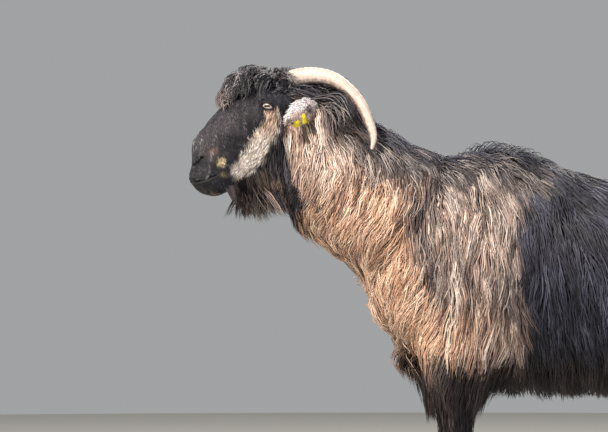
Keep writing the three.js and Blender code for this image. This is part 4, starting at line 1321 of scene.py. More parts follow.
# ---- Horns, eyes and hooves ----------
@dataclass
class Horns:
    """Long horns that sweep back over the neck and down at their tips."""

    line: tuple[tuple[float, ...], ...] = (
        (-366, 25, 900, 16.5, 13), (-340, 31, 919, 16, 13.5), (-300, 42, 925, 14.5, 13),
        (-260, 56, 914, 12.5, 11.5), (-222, 70, 879, 10.5, 9.5), (-202, 80, 838, 8.8, 8),
        (-195, 86, 811, 6, 5.4), (-198, 89, 791, 2.2, 2),
    )
    free_from: float = 0.17  # share of the horn at its root that hair may cover
    surroundings: Triple = (-395.0, -180.0, 765.0)  # both limits of x, and the lowest z, of what it can touch
    most: float = 30.0  # how far a point is moved at most, in millimetres
    ribs: int = 34
    rib_depth: float = 0.38
    around: int = 48
    rings: int = 190

    def curve(self, side: float, u: Array) -> Array:
        """Rows of x, y, z, half height and half width at shares u of the horn."""
        knots = np.array(self.line) * [1, side, 1, 1, 1]
        ends = np.vstack([2 * knots[0] - knots[1], knots, 2 * knots[-1] - knots[-2]])
        place = np.clip(u, 0, 1) * (len(knots) - 1)
        i = np.clip(place.astype(int), 0, len(knots) - 2)
        t = (place - i)[:, None]
        a, b, c, d = (ends[i + k] for k in range(4))
        return 0.5 * (
            2 * b + (c - a) * t + (2 * a - 5 * b + 4 * c - d) * t**2 + (3 * b - a - 3 * c + d) * t**3
        )

    def frame(self, side: float, u: Array) -> tuple[Array, Array, Array, Array]:
        """The horn's middle, and the ways along, across and over it."""
        row = self.curve(side, u)
        step = self.curve(side, u + 0.004) - self.curve(side, u - 0.004)
        along = unit(step[:, :3])
        across = sideways(np.broadcast_to(CROSS, along.shape), along)
        return row, along, across, np.cross(along, across)

    def build(self, side_name: str, material: Material) -> Object:
        """One horn, with growth rings that fade to its tip and a keel along its front."""
        side = SIDES[side_name]

        def shape(share: Array, turn: Array) -> Array:
            """Rings along the horn with their growth ridges."""
            u = np.clip((share - 0.006) / 0.988, 0, 1)
            row, _, across, over = self.frame(side, u)
            end = (share < 0.003) | (share > 0.997)
            wobble = 0.5 * ripple(np.c_[u * 300, 0 * u, 0 * u], 60, 5)
            phase = 2 * math.pi * (self.ribs * (u**0.85) + wobble * 0.35)
            rib = self.rib_depth * (np.cos(phase) + 0.4 * np.cos(2.7 * phase + 1)) * (1 - u) ** 0.7
            fade = np.clip(1 - np.abs(turn) / math.pi, 0.25, 1)
            keel = 1.1 * bump(np.abs(turn), 0.35) * (1 - u)
            r = np.where(end, 0.0, 1.0)
            tall = np.maximum(row[:, 3] + rib * fade + keel, 0.5) * r
            wide = np.maximum(row[:, 4] + rib * fade, 0.5) * r
            p = row[:, :3] + (tall * np.cos(turn))[:, None] * over
            return p + (wide * np.sin(turn))[:, None] * across

        obj = rolled(f"horn_{side_name}_sheath", self.around, self.rings, shape)
        self.dress(obj, side)
        return finished(obj, material)

    def dress(self, obj: Object, side: float) -> None:
        """Writes the horn's colours, cream above and pinkish brown below, partly painted shade, and the lie
        of its fibres.
        """
        p = ROW.millimetres(coordinates(obj))
        u = np.linspace(0, 1, 400)
        row, _, _, over = self.frame(side, u)
        near = nearest_of(row[:, :3], p)
        share = u[near]
        d = p - row[near, :3]
        high = np.sum(d * over[near], axis=1) / np.maximum(row[near, 3], 2)
        cream, under, base = linear("#dccdc1"), linear("#7d6259"), linear("#b7a089")
        streak = 0.16 * ripple(np.c_[share * 30, high * 14, d[:, 1]], 9, 6)
        streak = streak + 0.16 * ripple(np.c_[share * 300, high * 14, d[:, 1]], 7, 7)
        # Pinkish brown underside: partly the horn's own colour and partly painted shade.
        colour = mix(under, cream, ease(-1.05, -0.25, high + streak)[:, None])
        colour = mix(colour, base, (0.55 * ease(0.12, 0.0, share))[:, None])
        colour = mix(colour, linear("#e4d9cf"), (0.7 * ease(0.78, 0.98, share))[:, None])
        # Darker bands along the growth rings, fading towards the tip.
        phase = 2 * math.pi * self.ribs * share**0.85
        ring_darkening = (0.5 - 0.5 * np.cos(phase)) * (1 - share) * 0.22
        colour = mix(colour, linear("#8a6d52"), ring_darkening[:, None])
        paint(obj, colour)
        turn = np.arctan2(d[:, 1], high * 15)
        write(obj, "fibre", np.c_[np.cos(turn) * 0.015, np.sin(turn) * 0.015, share * 0.35])

    def clear(self, p: Array, out: Array, room: float) -> Array:
        """Presses points towards the body where they would lie on or in a horn."""
        u = np.linspace(self.free_from, 1, 40)
        moved = p.copy()
        for side in SIDES.values():
            row = self.curve(side, u)
            start, end, low = self.surroundings
            close = (p[:, 0] > start) & (p[:, 0] < end) & (p[:, 2] > low) & (p[:, 1] * side > 0)
            d = p[close, None, :] - row[None, :, :3]
            far = (np.linalg.norm(d, axis=2) - row[None, :, 3]).min(axis=1)
            moved[close] -= out[close] * np.clip(room - far, 0, self.most)[:, None]
        return moved


HORNS = Horns()


@dataclass
class Eyes:
    """Glass eyes with a swelling front."""

    front: float = 1.3  # how far the clear front swells
    front_reach: float = 8.5

    def build(self, side_name: str, material: Material) -> Object:
        """One eye, with its own drawing of the iris."""
        side = SIDES[side_name]
        forwards, up, out = EYE.axes(side)

        def place(flat: Array) -> Array:
            """The ball with its clear front."""
            p = flat * EYE.radius
            p[:, 2] += self.front * bump(np.hypot(p[:, 0], p[:, 1]), self.front_reach) * (p[:, 2] > 0)
            return EYE.centre(side) + p @ np.array([forwards, up, out])

        obj = ball(f"eye_{side_name}_glass", 96, 48, place)
        d = ROW.millimetres(coordinates(obj)) - EYE.centre(side)
        iris = np.c_[d @ forwards, d @ up, d @ out]
        iris[:, :2] += 40 * (iris[:, 2:] < 0)
        write(obj, "iris", iris)
        return finished(obj, material)


@dataclass
class Hooves:
    """Eight claws of the cloven hooves and the dew claws behind them."""

    height: float = 46
    apart: float = 4.5
    length: float = 58
    slope: float = 17
    top_length: float = 38
    heel_drop: float = 0.34  # how much lower the wall is at the heel, as a share
    dew_height: float = 82
    dew_apart: float = 18

    def claw(self, name: str, which: str, material: Material) -> Object:
        """One claw, with a rounded toe, a coronet and growth ridges."""
        mass = LEGS[name]
        q = mass.section(np.array([self.height]))
        heel, half, across = float(q.top[0]) - 2, float(q.half[0]), float(q.across[0])
        outwards = 1.0 if which == "outer" else -1.0
        inner = self.apart / 2
        wide = half - inner

        def shape(share: Array, turn: Array) -> Array:
            """A flat sole, a wall and a rounded top."""
            u = np.clip((share - 0.12) / 0.76, 0, 1)
            r = np.interp(share, (0, 0.06, 0.12, 0.88, 0.94, 1), (0, 0.93, 1, 1, 0.7, 0))
            c = np.cos(turn)
            low_heel = 1 - self.heel_drop * ease(-0.6, 1.0, c)
            z = (self.height * u + np.interp(share, (0, 0.9, 0.94, 1), (0, 0, 2.0, 3.0))) * low_heel
            long = self.length + (self.top_length - self.length) * u
            front = heel + self.slope * 0.3 * (u - 1) - long
            ridge = 1 + 0.008 * np.sin(u * 2 * math.pi * 7) * (u > 0.02)
            heel_bulb = 2.4 * ease(0.2, 1.0, c) * np.sin(math.pi * np.clip(u * 1.1, 0, 1)) * r
            x = front + long / 2 + r * ridge * c * long / 2 + heel_bulb
            toe = 1 - 0.35 * np.maximum(0, -c) ** 2
            bulge = (0.5 + 0.5 * np.sin(turn)) * (wide + 2.5 * (1 - u)) * toe * ridge
            middle = (wide + 2.5 * (1 - u)) / 2
            y = inner + mix(middle, bulge, r)
            return np.c_[x, mass.side * across + outwards * y, z]

        return finished(rolled(f"claw_{name}_{which}", 48, 30, shape), material, 50)

    def dew_claws(self, name: str, material: Material) -> Object:
        """The pair of small claws behind a fetlock."""
        mass = LEGS[name]
        q = mass.section(np.array([self.dew_height]))

        def claw(y: float) -> Object:
            """One of the pair, at y from the middle of the leg."""
            at = np.array([q.top[0] - 0.5, mass.side * q.across[0] + y, self.dew_height])

            def place(flat: Array) -> Array:
                """A ball drawn out and bent forwards below."""
                low = ease(0.4, -1.0, flat[:, 2])
                taper = 1 - 0.45 * low
                p = at + flat * np.c_[6 * taper, 4.6 * taper, np.full_like(low, 10.0)]
                p[:, 0] += 1.6 * low
                return p

            return ball("dew_claw", 24, 16, place)

        parts = [claw(y) for y in (-self.dew_apart / 2, self.dew_apart / 2)]
        return finished(united(parts, f"dew_claws_{name}"), material)


# ---- Skin ----------
@dataclass
class Skin:
    """One closed skin over the whole goat."""

    voxel: float = 6.0
    around: int = 72
    rings: int = 60

    def body(self) -> Object:
        """Trunk, neck, legs and tail, run smoothly into one another."""
        masses = {name: mass for name, mass in BODY.masses.items() if name != "head"}
        blanks = [mass_blank(name, mass, self.around, self.rings) for name, mass in masses.items()]
        for blank in blanks:
            self.ripple_muscles(blank)
        obj = united(blanks, "body_skin")
        apply_modifier(obj, "REMESH", mode="VOXEL", voxel_size=self.voxel / 1000)
        apply_modifier(obj, "SMOOTH", factor=0.5, iterations=5)
        return obj

    @staticmethod
    def ripple_muscles(obj: Object) -> None:
        """Gives a plain mass the slight swells of muscle and bone."""
        p = ROW.millimetres(coordinates(obj))
        middle = p.mean(axis=0)
        swell = 1.6 * ripple(p, 90, 31) * ease(200, 420, p[:, 2])
        set_coordinates(obj, ROW.metres(p + unit(p - middle) * swell[:, None]))

    def build(self, head: HeadSkin, material: Material) -> Object:
        """The skin, with its openings, colours and bare places."""
        skin = self.body()
        combine(skin, head.build(), "UNION")
        for side in SIDES.values():
            combine(skin, EAR.build(side), "UNION")
            combine(skin, head.opening(side), "DIFFERENCE")
            combine(skin, head.cavity(side), "DIFFERENCE")
            combine(skin, head.lid_rim(side), "UNION")
        tidy_mesh(skin, 1e-6)
        only(skin)
        self.dress(named("goat_skin"), head)
        return finished(skin, material)

    @staticmethod
    def bare(p: Array, head: HeadSkin) -> Array:
        """The share to which the skin is bare: lips, nostrils, the edges of the lids."""
        lips, nose = (head.from_line(p, line) for line in (head.mouth_line(), np.array(head.nostril)))
        share = np.maximum(ease(4.4, 2.6, lips), ease(7.5, 4.0, nose))
        tip = np.hypot((p[:, 0] + 530) / 12, np.hypot(p[:, 1] / 11, (p[:, 2] - 762) / 12))
        share = np.maximum(share, ease(1.1, 0.7, tip) * 0.9)
        for side in SIDES.values():
            near = np.linalg.norm(p - EYE.centre(side), axis=1) < 30
            share = np.maximum(share, near * ease(1.5, 1.25, EYE.spread(p, side)[0]))
        return share

    def dress(self, skin: Object, head: HeadSkin) -> None:
        """Paints the markings on the skin and marks where it is bare."""
        p = ROW.millimetres(coordinates(skin))
        colour = MARKINGS.colour(p, np.full(len(p), 0.36)) * 0.62
        ear = ear_share(p)
        inside = Coat.EAR_LOW.value.pick(np.full(len(p), 0.45))
        colour = mix(colour, inside, ear[:, None])
        bare = self.bare(p, head) * (1 - ear)
        colour = mix(colour, linear("#141215"), bare[:, None])
        paint(skin, colour)
        write(skin, "bare", bare)


def ear_share(p: Array) -> Array:
    """1 on the ears and 0 off them."""
    share = np.zeros(len(p))
    for side in SIDES.values():
        root, length, _, _ = EAR.frame(side)
        long = np.linalg.norm(length)
        d = p - root
        t = d @ length / long**2
        off = np.linalg.norm(d - np.outer(np.clip(t, 0, 1.1), length), axis=1)
        lateral = np.abs(p[:, 1]) - 62
        share = np.maximum(share, ease(0.06, 0.16, t) * (off < 30) * ease(0, 6, lateral))
    return share


# ---- Hair ----------
@dataclass
class Roots:
    """Where tufts grow: points, the way out there, and places on an unwrap of the skin."""

    at: Array
    out: Array
    unwrap: Array = field(default_factory=lambda: np.zeros((0, 2)))

    def __len__(self) -> int:
        """How many there are."""
        return len(self.at)

    def take(self, which: Array) -> "Roots":
        """Those that an index or a mask picks."""
        unwrap = self.unwrap[which] if len(self.unwrap) else self.unwrap
        return Roots(self.at[which], self.out[which], unwrap)


class Scatter:
    """Spreads roots evenly over the skin's faces."""

    def __init__(self, skin: Object) -> None:
        """Reads the skin's triangles, their areas and the normals at their corners."""
        mesh = skin.data
        mesh.calc_loop_triangles()
        corners = np.empty(3 * len(mesh.loop_triangles), np.int32)
        mesh.loop_triangles.foreach_get("vertices", corners)
        self.corners = corners.reshape(-1, 3)
        self.points = ROW.millimetres(coordinates(skin))
        normals = np.empty(3 * len(mesh.vertices), np.float32)
        mesh.vertices.foreach_get("normal", normals)
        self.normals = normals.reshape(-1, 3).astype(float)
        a, b, c = (self.points[self.corners[:, k]] for k in range(3))
        self.areas = np.linalg.norm(np.cross(b - a, c - a), axis=1) / 2
        self.middles = (a + b + c) / 3

    def roots(self, density: Density, rng: np.random.Generator) -> Roots:
        """Roots at a density for each square centimetre, which may differ from place to place.

        Args:
            density: Gives tufts for each square centimetre at points.
            rng: Draws the places.

        Returns:
            The roots, without an unwrap.
        """
        wanted = self.areas / 100 * np.maximum(density(self.middles), 0)
        total = np.cumsum(wanted)
        count = int(total[-1])
        draws = (np.arange(count) + rng.uniform(0, 1, count)) * total[-1] / max(count, 1)
        face = np.minimum(np.searchsorted(total, draws), len(total) - 1)
        a, b = rng.uniform(0, 1, (2, count))
        over = a + b > 1
        a, b = np.where(over, 1 - a, a), np.where(over, 1 - b, b)
        share = np.stack([1 - a - b, a, b], axis=1)[:, :, None]
        at = (self.points[self.corners[face]] * share).sum(axis=1)
        out = unit((self.normals[self.corners[face]] * share).sum(axis=1))
        return Roots(at, out)


def body_way(p: Array, out: Array) -> Array:
    """The lie of the long coat.

    It parts along the spine, hangs down the flanks with a slight lean to the rear, sweeps forwards down the
    neck to the chest, and parts again where the neck meets the shoulder.
    """
    x, z = p[:, 0], p[:, 2]
    crown = np.maximum(0, out[:, 2]) ** 2
    past = past_cleft(p) + 6 * ripple(p, 60, 12)
    neck = -mix(0.08, 0.9, ease(825, 735, z)) - 0.6 * ease(745, 665, z)
    near_cleft = -0.78 * bump(np.minimum(past, 0), 46)
    on_neck = np.minimum(neck, near_cleft) * ease(0.78, 0.25, -out[:, 0])
    on_trunk = mix(-0.2, 0.1, ease(-60, 150, x)) + 0.35 * ease(430, 620, x)
    on_trunk = on_trunk - 0.75 * bump(x - 128, 42) * ease(625, 720, z)
    back = mix(on_neck, on_trunk, ease(-6, 6 + 0.6 * np.maximum(0, 669 - z), past)) + 1.5 * crown
    back = back + mix(0.17, 0.3, bump(x - 20, 110) * ease(600, 720, z)) * ripple(p, 70, 14)
    back = back + 0.06 * ripple(p, 24, 15)
    wide = 0.10 * ripple(p, 55, 16)
    return np.stack([back, 0.7 * crown * np.sign(p[:, 1]) + wide, np.full(len(p), -1.0)], axis=1)


def face_way(p: Array, out: Array) -> Array:
    """The lie of the short hair: from the bridge down and back, and down the cheek along its stripe."""
    x, z, y = p[:, 0], p[:, 2], p[:, 1]
    stripe = np.full(len(p), FAR)
    for (a, _), (b, _) in zip(Markings.STRIPE[:-1], Markings.STRIPE[1:]):
        stripe = np.minimum(stripe, line_distance(x, z, a, b))
    lean = mix(0.75, mix(-0.25, -0.85, ease(835, 790, z)), bump(stripe, 25))
    lean = mix(lean, 0.55, ease(-440, -500, x))
    lean = mix(lean, 1.0, ease(-60, -85, HEAD.above(p))) + 0.14 * ripple(p, 22, 17)
    return np.stack([lean, 0.5 * np.sign(y) * ease(0, 8, np.abs(y)), np.full(len(p), -1.0)], axis=1)


@dataclass
class Growth:
    """How a stretch of coat grows. Each entry is a number, or one for each root, in millimetres."""

    length: Array | float
    width: Array | float
    thick: float
    over: Array | float  # how high the middle of a tuft lies over the skin
    droop: Array | float = 0.12
    hug: Array | float = 0.8  # how closely a tuft is held down on the skin
    wave: float = 3.0  # how far a tuft swings to either side
    wave_length: float = 60.0
    curl: float = 0.0  # how far it winds
    loose: float = 0.3  # how little neighbours swing together
    stray: float = 0.16  # how far it strays from the lie, as a share
    clump: float = 0.72  # how far tips draw together
    clump_every: int = 12  # tufts to a clump
    even: Array | float = 0.3  # how high the lowest tufts lie, as a share of the highest
    sink: float = 2.5
    steps: int = 4
    lift: tuple[float, ...] = (0.6, 0.95, 0.95, 0.72)


class Tufts:
    """Tufts of hair, from their roots to a mesh."""

    WIDTHS = (0.7, 1.0, 0.84, 0.56, 0.4)  # from root to tip, as shares of the widest
    HORN_ROOM, SKIN_ROOM, FLOOR_ROOM = 0.5, 0.4, 2.0  # millimetres kept from each
    SHARPEST = 0.35  # cosine of the sharpest bend that a tuft may have
    TILT = 0.35  # how far tufts are rolled about their length, in radians
    PATCH = 0.003  # size of a tuft's patch on the bake map

    def __init__(self, roots: Roots, way: Way, growth: Growth, seed: int) -> None:
        """Grows the tufts.

        Args:
            roots: Where they grow.
            way: Their lie, for points and the ways out there.
            growth: How they grow.
            seed: Draws their differences.
        """
        self.roots, self.growth, self.count = roots, growth, len(roots)
        self.rng = np.random.default_rng(seed)
        self.tone = self.rng.uniform(0, 1, self.count)
        self.width = self.each(growth.width) * self.rng.uniform(0.65, 1.25, self.count)
        self.lines, self.outs = self.grow(way)
        self.gather()
        self.clear()

    def each(self, value: Array | float) -> Array:
        """A number for every tuft."""
        return np.broadcast_to(value, (self.count,))

    def grow(self, way: Way) -> tuple[Array, Array]:
        """The line of each tuft, as points from root to tip, and the way out at each of them."""
        g, rng, n = self.growth, self.rng, self.count
        out = self.roots.out
        heading = sideways(way(self.roots.at, out) + g.stray * rng.normal(size=(n, 3)), out)
        p = self.roots.at.copy()
        base = BODY.height(p)
        length = self.each(g.length) * rng.uniform(0.8, 1.15, n)
        step = (length / g.steps)[:, None]
        droop, hug = self.each(g.droop)[:, None], self.each(g.hug)
        over = self.each(g.over) * mix(g.even, 1.0, rng.uniform(0, 1, n) ** 0.75)
        phase = 4.0 * ripple(p, 70, 50) + g.loose * rng.uniform(0, 2 * math.pi, n)
        lines, outs = [p - g.sink * out], [out]
        for lift in g.lift[: g.steps]:
            before = p
            heading = unit(heading + droop * DOWN)
            p = p + heading * step
            out = BODY.out(p)
            gap = over * lift + base - BODY.height(p)
            p = p + out * np.where(gap > 0, gap, hug * gap)[:, None]
            heading = unit(p - before)
            lines.append(p)
            outs.append(out)
        line, out_line = np.stack(lines, axis=1), np.stack(outs, axis=1)
        run = np.arange(g.steps + 1) / g.steps
        along = unit(line[:, 1:] - line[:, :-1])
        along = np.concatenate([along, along[:, -1:]], axis=1)
        side = unit(np.cross(along, out_line))
        turns = 2 * math.pi * run[None, :] * (length / g.wave_length)[:, None] + phase[:, None]
        swing = g.wave * run[None, :] ** 0.7 * np.sin(turns)
        line = line + side * swing[:, :, None]
        wind = g.curl * run[None, :, None] ** 0.5
        line = line + out_line * wind * np.cos(turns)[:, :, None] + side * wind * np.sin(turns)[:, :, None]
        return line, out_line

    def gather(self) -> None:
        """Draws the tips of neighbouring tufts together, as damp or dusty hair does."""
        g, n = self.growth, self.count
        if not g.clump or n < 2 * g.clump_every:
            return
        guides = self.rng.permutation(n)[: n // g.clump_every]
        nearest = guides[nearest_of(self.roots.at[guides], self.roots.at)]
        run = (np.arange(g.steps + 1) / g.steps)[None, :, None]
        apart = (self.roots.at - self.roots.at[nearest])[:, None, :]
        strength = g.clump * self.rng.uniform(0.6, 1.15, n)[:, None, None]
        aim = self.lines[nearest] + apart * mix(1.0, 0.3, run)
        self.lines = mix(self.lines, aim, np.clip(strength, 0, 0.95) * run**0.8)
        self.tone = np.clip(mix(self.tone, self.tone[nearest], 0.62), 0, 1)

    def clear(self) -> None:
        """Keeps the tufts off the horns, the skin and the floor, and drops those that are in the way."""
        for k in range(1, self.growth.steps + 1):
            p, out = self.lines[:, k], self.outs[:, k]
            p = HORNS.clear(p, out, self.HORN_ROOM)
            p = p + out * np.maximum(self.SKIN_ROOM - BODY.height(p), 0)[:, None]
            p[:, 2] = np.maximum(p[:, 2], self.FLOOR_ROOM)
            self.lines[:, k] = p
        self.keep(~self.on_eye_or_ear() & (self.straightness() >= self.SHARPEST))

    def on_eye_or_ear(self) -> Array:
        """Which tufts hang over an eye's opening or the outside of an ear."""
        over = np.zeros(self.count, bool)
        for side in SIDES.values():
            root, length, across, normal = EAR.frame(side)
            for k in range(1, self.growth.steps + 1):
                p = self.lines[:, k]
                spread, _, out = EYE.spread(p, side)
                over |= (spread < 1.3) & (out > 6) & (out < 45)
                d = p - root
                t = d @ length / (length @ length)
                wide, high = np.abs(d @ across) < EAR.width / 2, d @ normal
                over |= wide & (t > 0.15) & (t < 1.1) & (high > -4) & (high < 30)
        return over

    def straightness(self) -> Array:
        """The cosine of each tuft's sharpest bend, past its root."""
        along = unit(self.lines[:, 1:] - self.lines[:, :-1])
        return (along[:, 2:] * along[:, 1:-1]).sum(axis=2).min(axis=1)

    def keep(self, which: Array) -> None:
        """Drops all tufts but those of a mask."""
        self.roots = self.roots.take(which)
        self.lines, self.outs = self.lines[which], self.outs[which]
        self.tone, self.width = self.tone[which], self.width[which]
        self.count = int(which.sum())

    def colours(
        self, show: float = 0.55, fade: float = 0.55, tip: float = 1.12, contrast: float = 1.45
    ) -> Array:
        """Colours for every point of every tuft: darker at the root, as painted shade between the tufts, and
        palest near the tip, partly pale hair and partly a painted highlight.

        Args:
            show: Share of the way along a tuft where it takes the marking's colour.
            fade: Brightness at the root, which paints the shade between the tufts.
            tip: Brightness at the tip, partly pale hair and partly a painted highlight.
            contrast: How far tufts differ from one another.

        Returns:
            Linear colours as [tuft, step, channel].
        """
        seen = self.lines[:, round(show * self.growth.steps)]
        streak = 0.5 + 0.5 * np.clip(ripple(seen * [1, 1, 0.22], 15, 19), -1, 1)
        broad = 0.5 + 0.5 * np.clip(ripple(seen * [1, 1, 0.35], 42, 23), -1, 1)
        pale = 0.5 * self.tone + 0.32 * streak + 0.18 * broad
        pale = np.clip(0.5 + contrast * (pale - 0.5), 0, 1)
        return self.brightened(MARKINGS.colour(seen, pale), (fade, 1.0, tip))

    def brightened(self, colour: Array, levels: Triple) -> Array:
        """Colours for every point: each tuft's own by the brightness at its root, further up, at its tip; the
        darker root is painted shade between the tufts.
        """
        # A darker root paints the shade between tufts; a brighter tip is partly pale hair and partly a
        # painted highlight.
        bright = np.interp(np.linspace(0, 1, self.growth.steps + 1), (0, 0.4, 1), levels)
        return colour[:, None, :] * bright[None, :, None]

    def mesh(self, name: str, colours: Array, material: Material) -> Object:
        """One object with a flat three-sided closed tuft for each line.

        Args:
            name: Name of the piece.
            colours: Linear colours as [tuft, step, channel].
            material: What it is made of.

        Returns:
            The object, with its colours and its bake map.
        """
        g, n, steps = self.growth, self.count, self.growth.steps
        line = self.lines
        along = np.empty_like(line)
        along[:, 1:-1] = line[:, 2:] - line[:, :-2]
        along[:, 0] = line[:, 1] - line[:, 0]
        along[:, -1] = line[:, -1] - line[:, -2]
        along = unit(along)
        wide = unit(np.cross(along, self.outs))
        tilt = self.rng.normal(0, self.TILT, (n, 1, 1))
        face = np.cross(wide, along)
        wide, face = wide * np.cos(tilt) + face * np.sin(tilt), face * np.cos(tilt) - wide * np.sin(tilt)
        profile = np.interp(np.linspace(0, 1, steps + 1)[:-1], np.linspace(0, 1, 5), self.WIDTHS)
        half = (self.width[:, None] * profile[None, :] / 2)[:, :, None]
        deep = (g.thick * profile / 2)[None, :, None]
        rings = np.stack(
            [
                line[:, :-1] - wide[:, :-1] * half - face[:, :-1] * deep,
                line[:, :-1] + wide[:, :-1] * half - face[:, :-1] * deep,
                line[:, :-1] + face[:, :-1] * deep * 1.4,
            ],
            axis=2,
        )
        each = 3 * steps + 1
        points = np.concatenate([rings.reshape(n, 3 * steps, 3), line[:, -1:]], axis=1)
        quads = [
            (3 * k + i, 3 * k + 3 + i, 3 * k + 3 + (i + 1) % 3, 3 * k + (i + 1) % 3)
            for k in range(steps - 1)
            for i in range(3)
        ]
        last = 3 * (steps - 1)
        fans = [(last + i, last + 3, last + (i + 1) % 3) for i in range(3)] + [(0, 1, 2)]
        loops = np.array([c for f in (*quads, *fans) for c in f])
        sizes = np.array([4] * len(quads) + [3] * len(fans))
        corners = (loops[None, :] + each * np.arange(n)[:, None]).ravel()
        mesh = bpy.data.meshes.new(name)
        mesh.vertices.add(n * each)
        mesh.vertices.foreach_set("co", ROW.metres(points).astype(np.float32).ravel())
        mesh.loops.add(len(corners))
        mesh.loops.foreach_set("vertex_index", corners.astype(np.int32))
        mesh.polygons.add(n * len(sizes))
        starts = np.concatenate([[0], np.cumsum(np.tile(sizes, n))[:-1]])
        mesh.polygons.foreach_set("loop_start", starts.astype(np.int32))
        mesh.polygons.foreach_set("use_smooth", np.ones(n * len(sizes), bool))
        mesh.update(calc_edges=True)
        lean, low = 0.8 * wide[:, :-1], 0.3 * face[:, :-1]
        own = np.stack([-lean - low, lean - low, face[:, :-1]], axis=2)
        soft = unit(0.55 * own + 0.6 * self.outs[:, :-1, None]).reshape(n, 3 * steps, 3)
        soft = np.concatenate([soft, self.outs[:, -1:]], axis=1).reshape(-1, 3)
        mesh.normals_split_custom_set_from_vertices(soft.tolist())
        obj = bpy.data.objects.new(name, mesh)
        bpy.context.scene.collection.objects.link(obj)
        across = np.tile([0.0, 1.0, 0.5], steps)
        run = np.repeat(np.arange(steps) / steps, 3)
        patch = np.c_[np.append(across, 0.5), np.append(run, 1.0)] - 0.5
        map_points = self.roots.unwrap[:, None, :] + self.PATCH * patch[None]
        layer = mesh.uv_layers.new(name="OFBake")
        layer.data.foreach_set("uv", map_points.reshape(-1, 2)[corners].astype(np.float32).ravel())
        ring_colours = np.repeat(colours[:, :-1], 3, axis=1)
        paint(obj, np.concatenate([ring_colours, colours[:, -1:]], axis=1).reshape(-1, 3))
        mesh.materials.append(material)
        return obj


class EarTufts(Tufts):
    """The short straight hair of an ear, which lies clear of everything else."""

    RISE = np.array([-0.6, 0.8, 1.6, 1.9])  # over the ear, from root to tip

    def grow(self, way: Way) -> tuple[Array, Array]:
        """Straight lines that lie on the ear."""
        g, at, out = self.growth, self.roots.at, self.roots.out
        stray = g.stray * self.rng.normal(size=at.shape)
        heading = sideways(way(at, out) + stray + g.droop * DOWN, out)
        long = self.each(g.length) * self.rng.uniform(0.7, 1.2, self.count)
        run = np.linspace(0, 1, g.steps + 1)
        lines = at[:, None] + heading[:, None] * (run[None, :] * long[:, None])[:, :, None]
        return lines + out[:, None] * self.RISE[None, :, None], np.repeat(out[:, None], g.steps + 1, axis=1)

    def clear(self) -> None:
        """Leaves the tufts as they lie."""


def unwrapped(roots: Roots, mass: Mass, mirror: bool = True) -> Roots:
    """Roots with their places on a mass rolled out flat, each side on its own where mirrored."""
    held, _, turn = mass.local(roots.at)
    u = mix(0.02, 0.98, (held - mass.first) / (mass.last - mass.first))
    v = np.abs(turn) / math.pi if mirror else turn / (2 * math.pi) + 0.5
    return Roots(roots.at, roots.out, np.c_[u, mix(0.02, 0.98, v)])


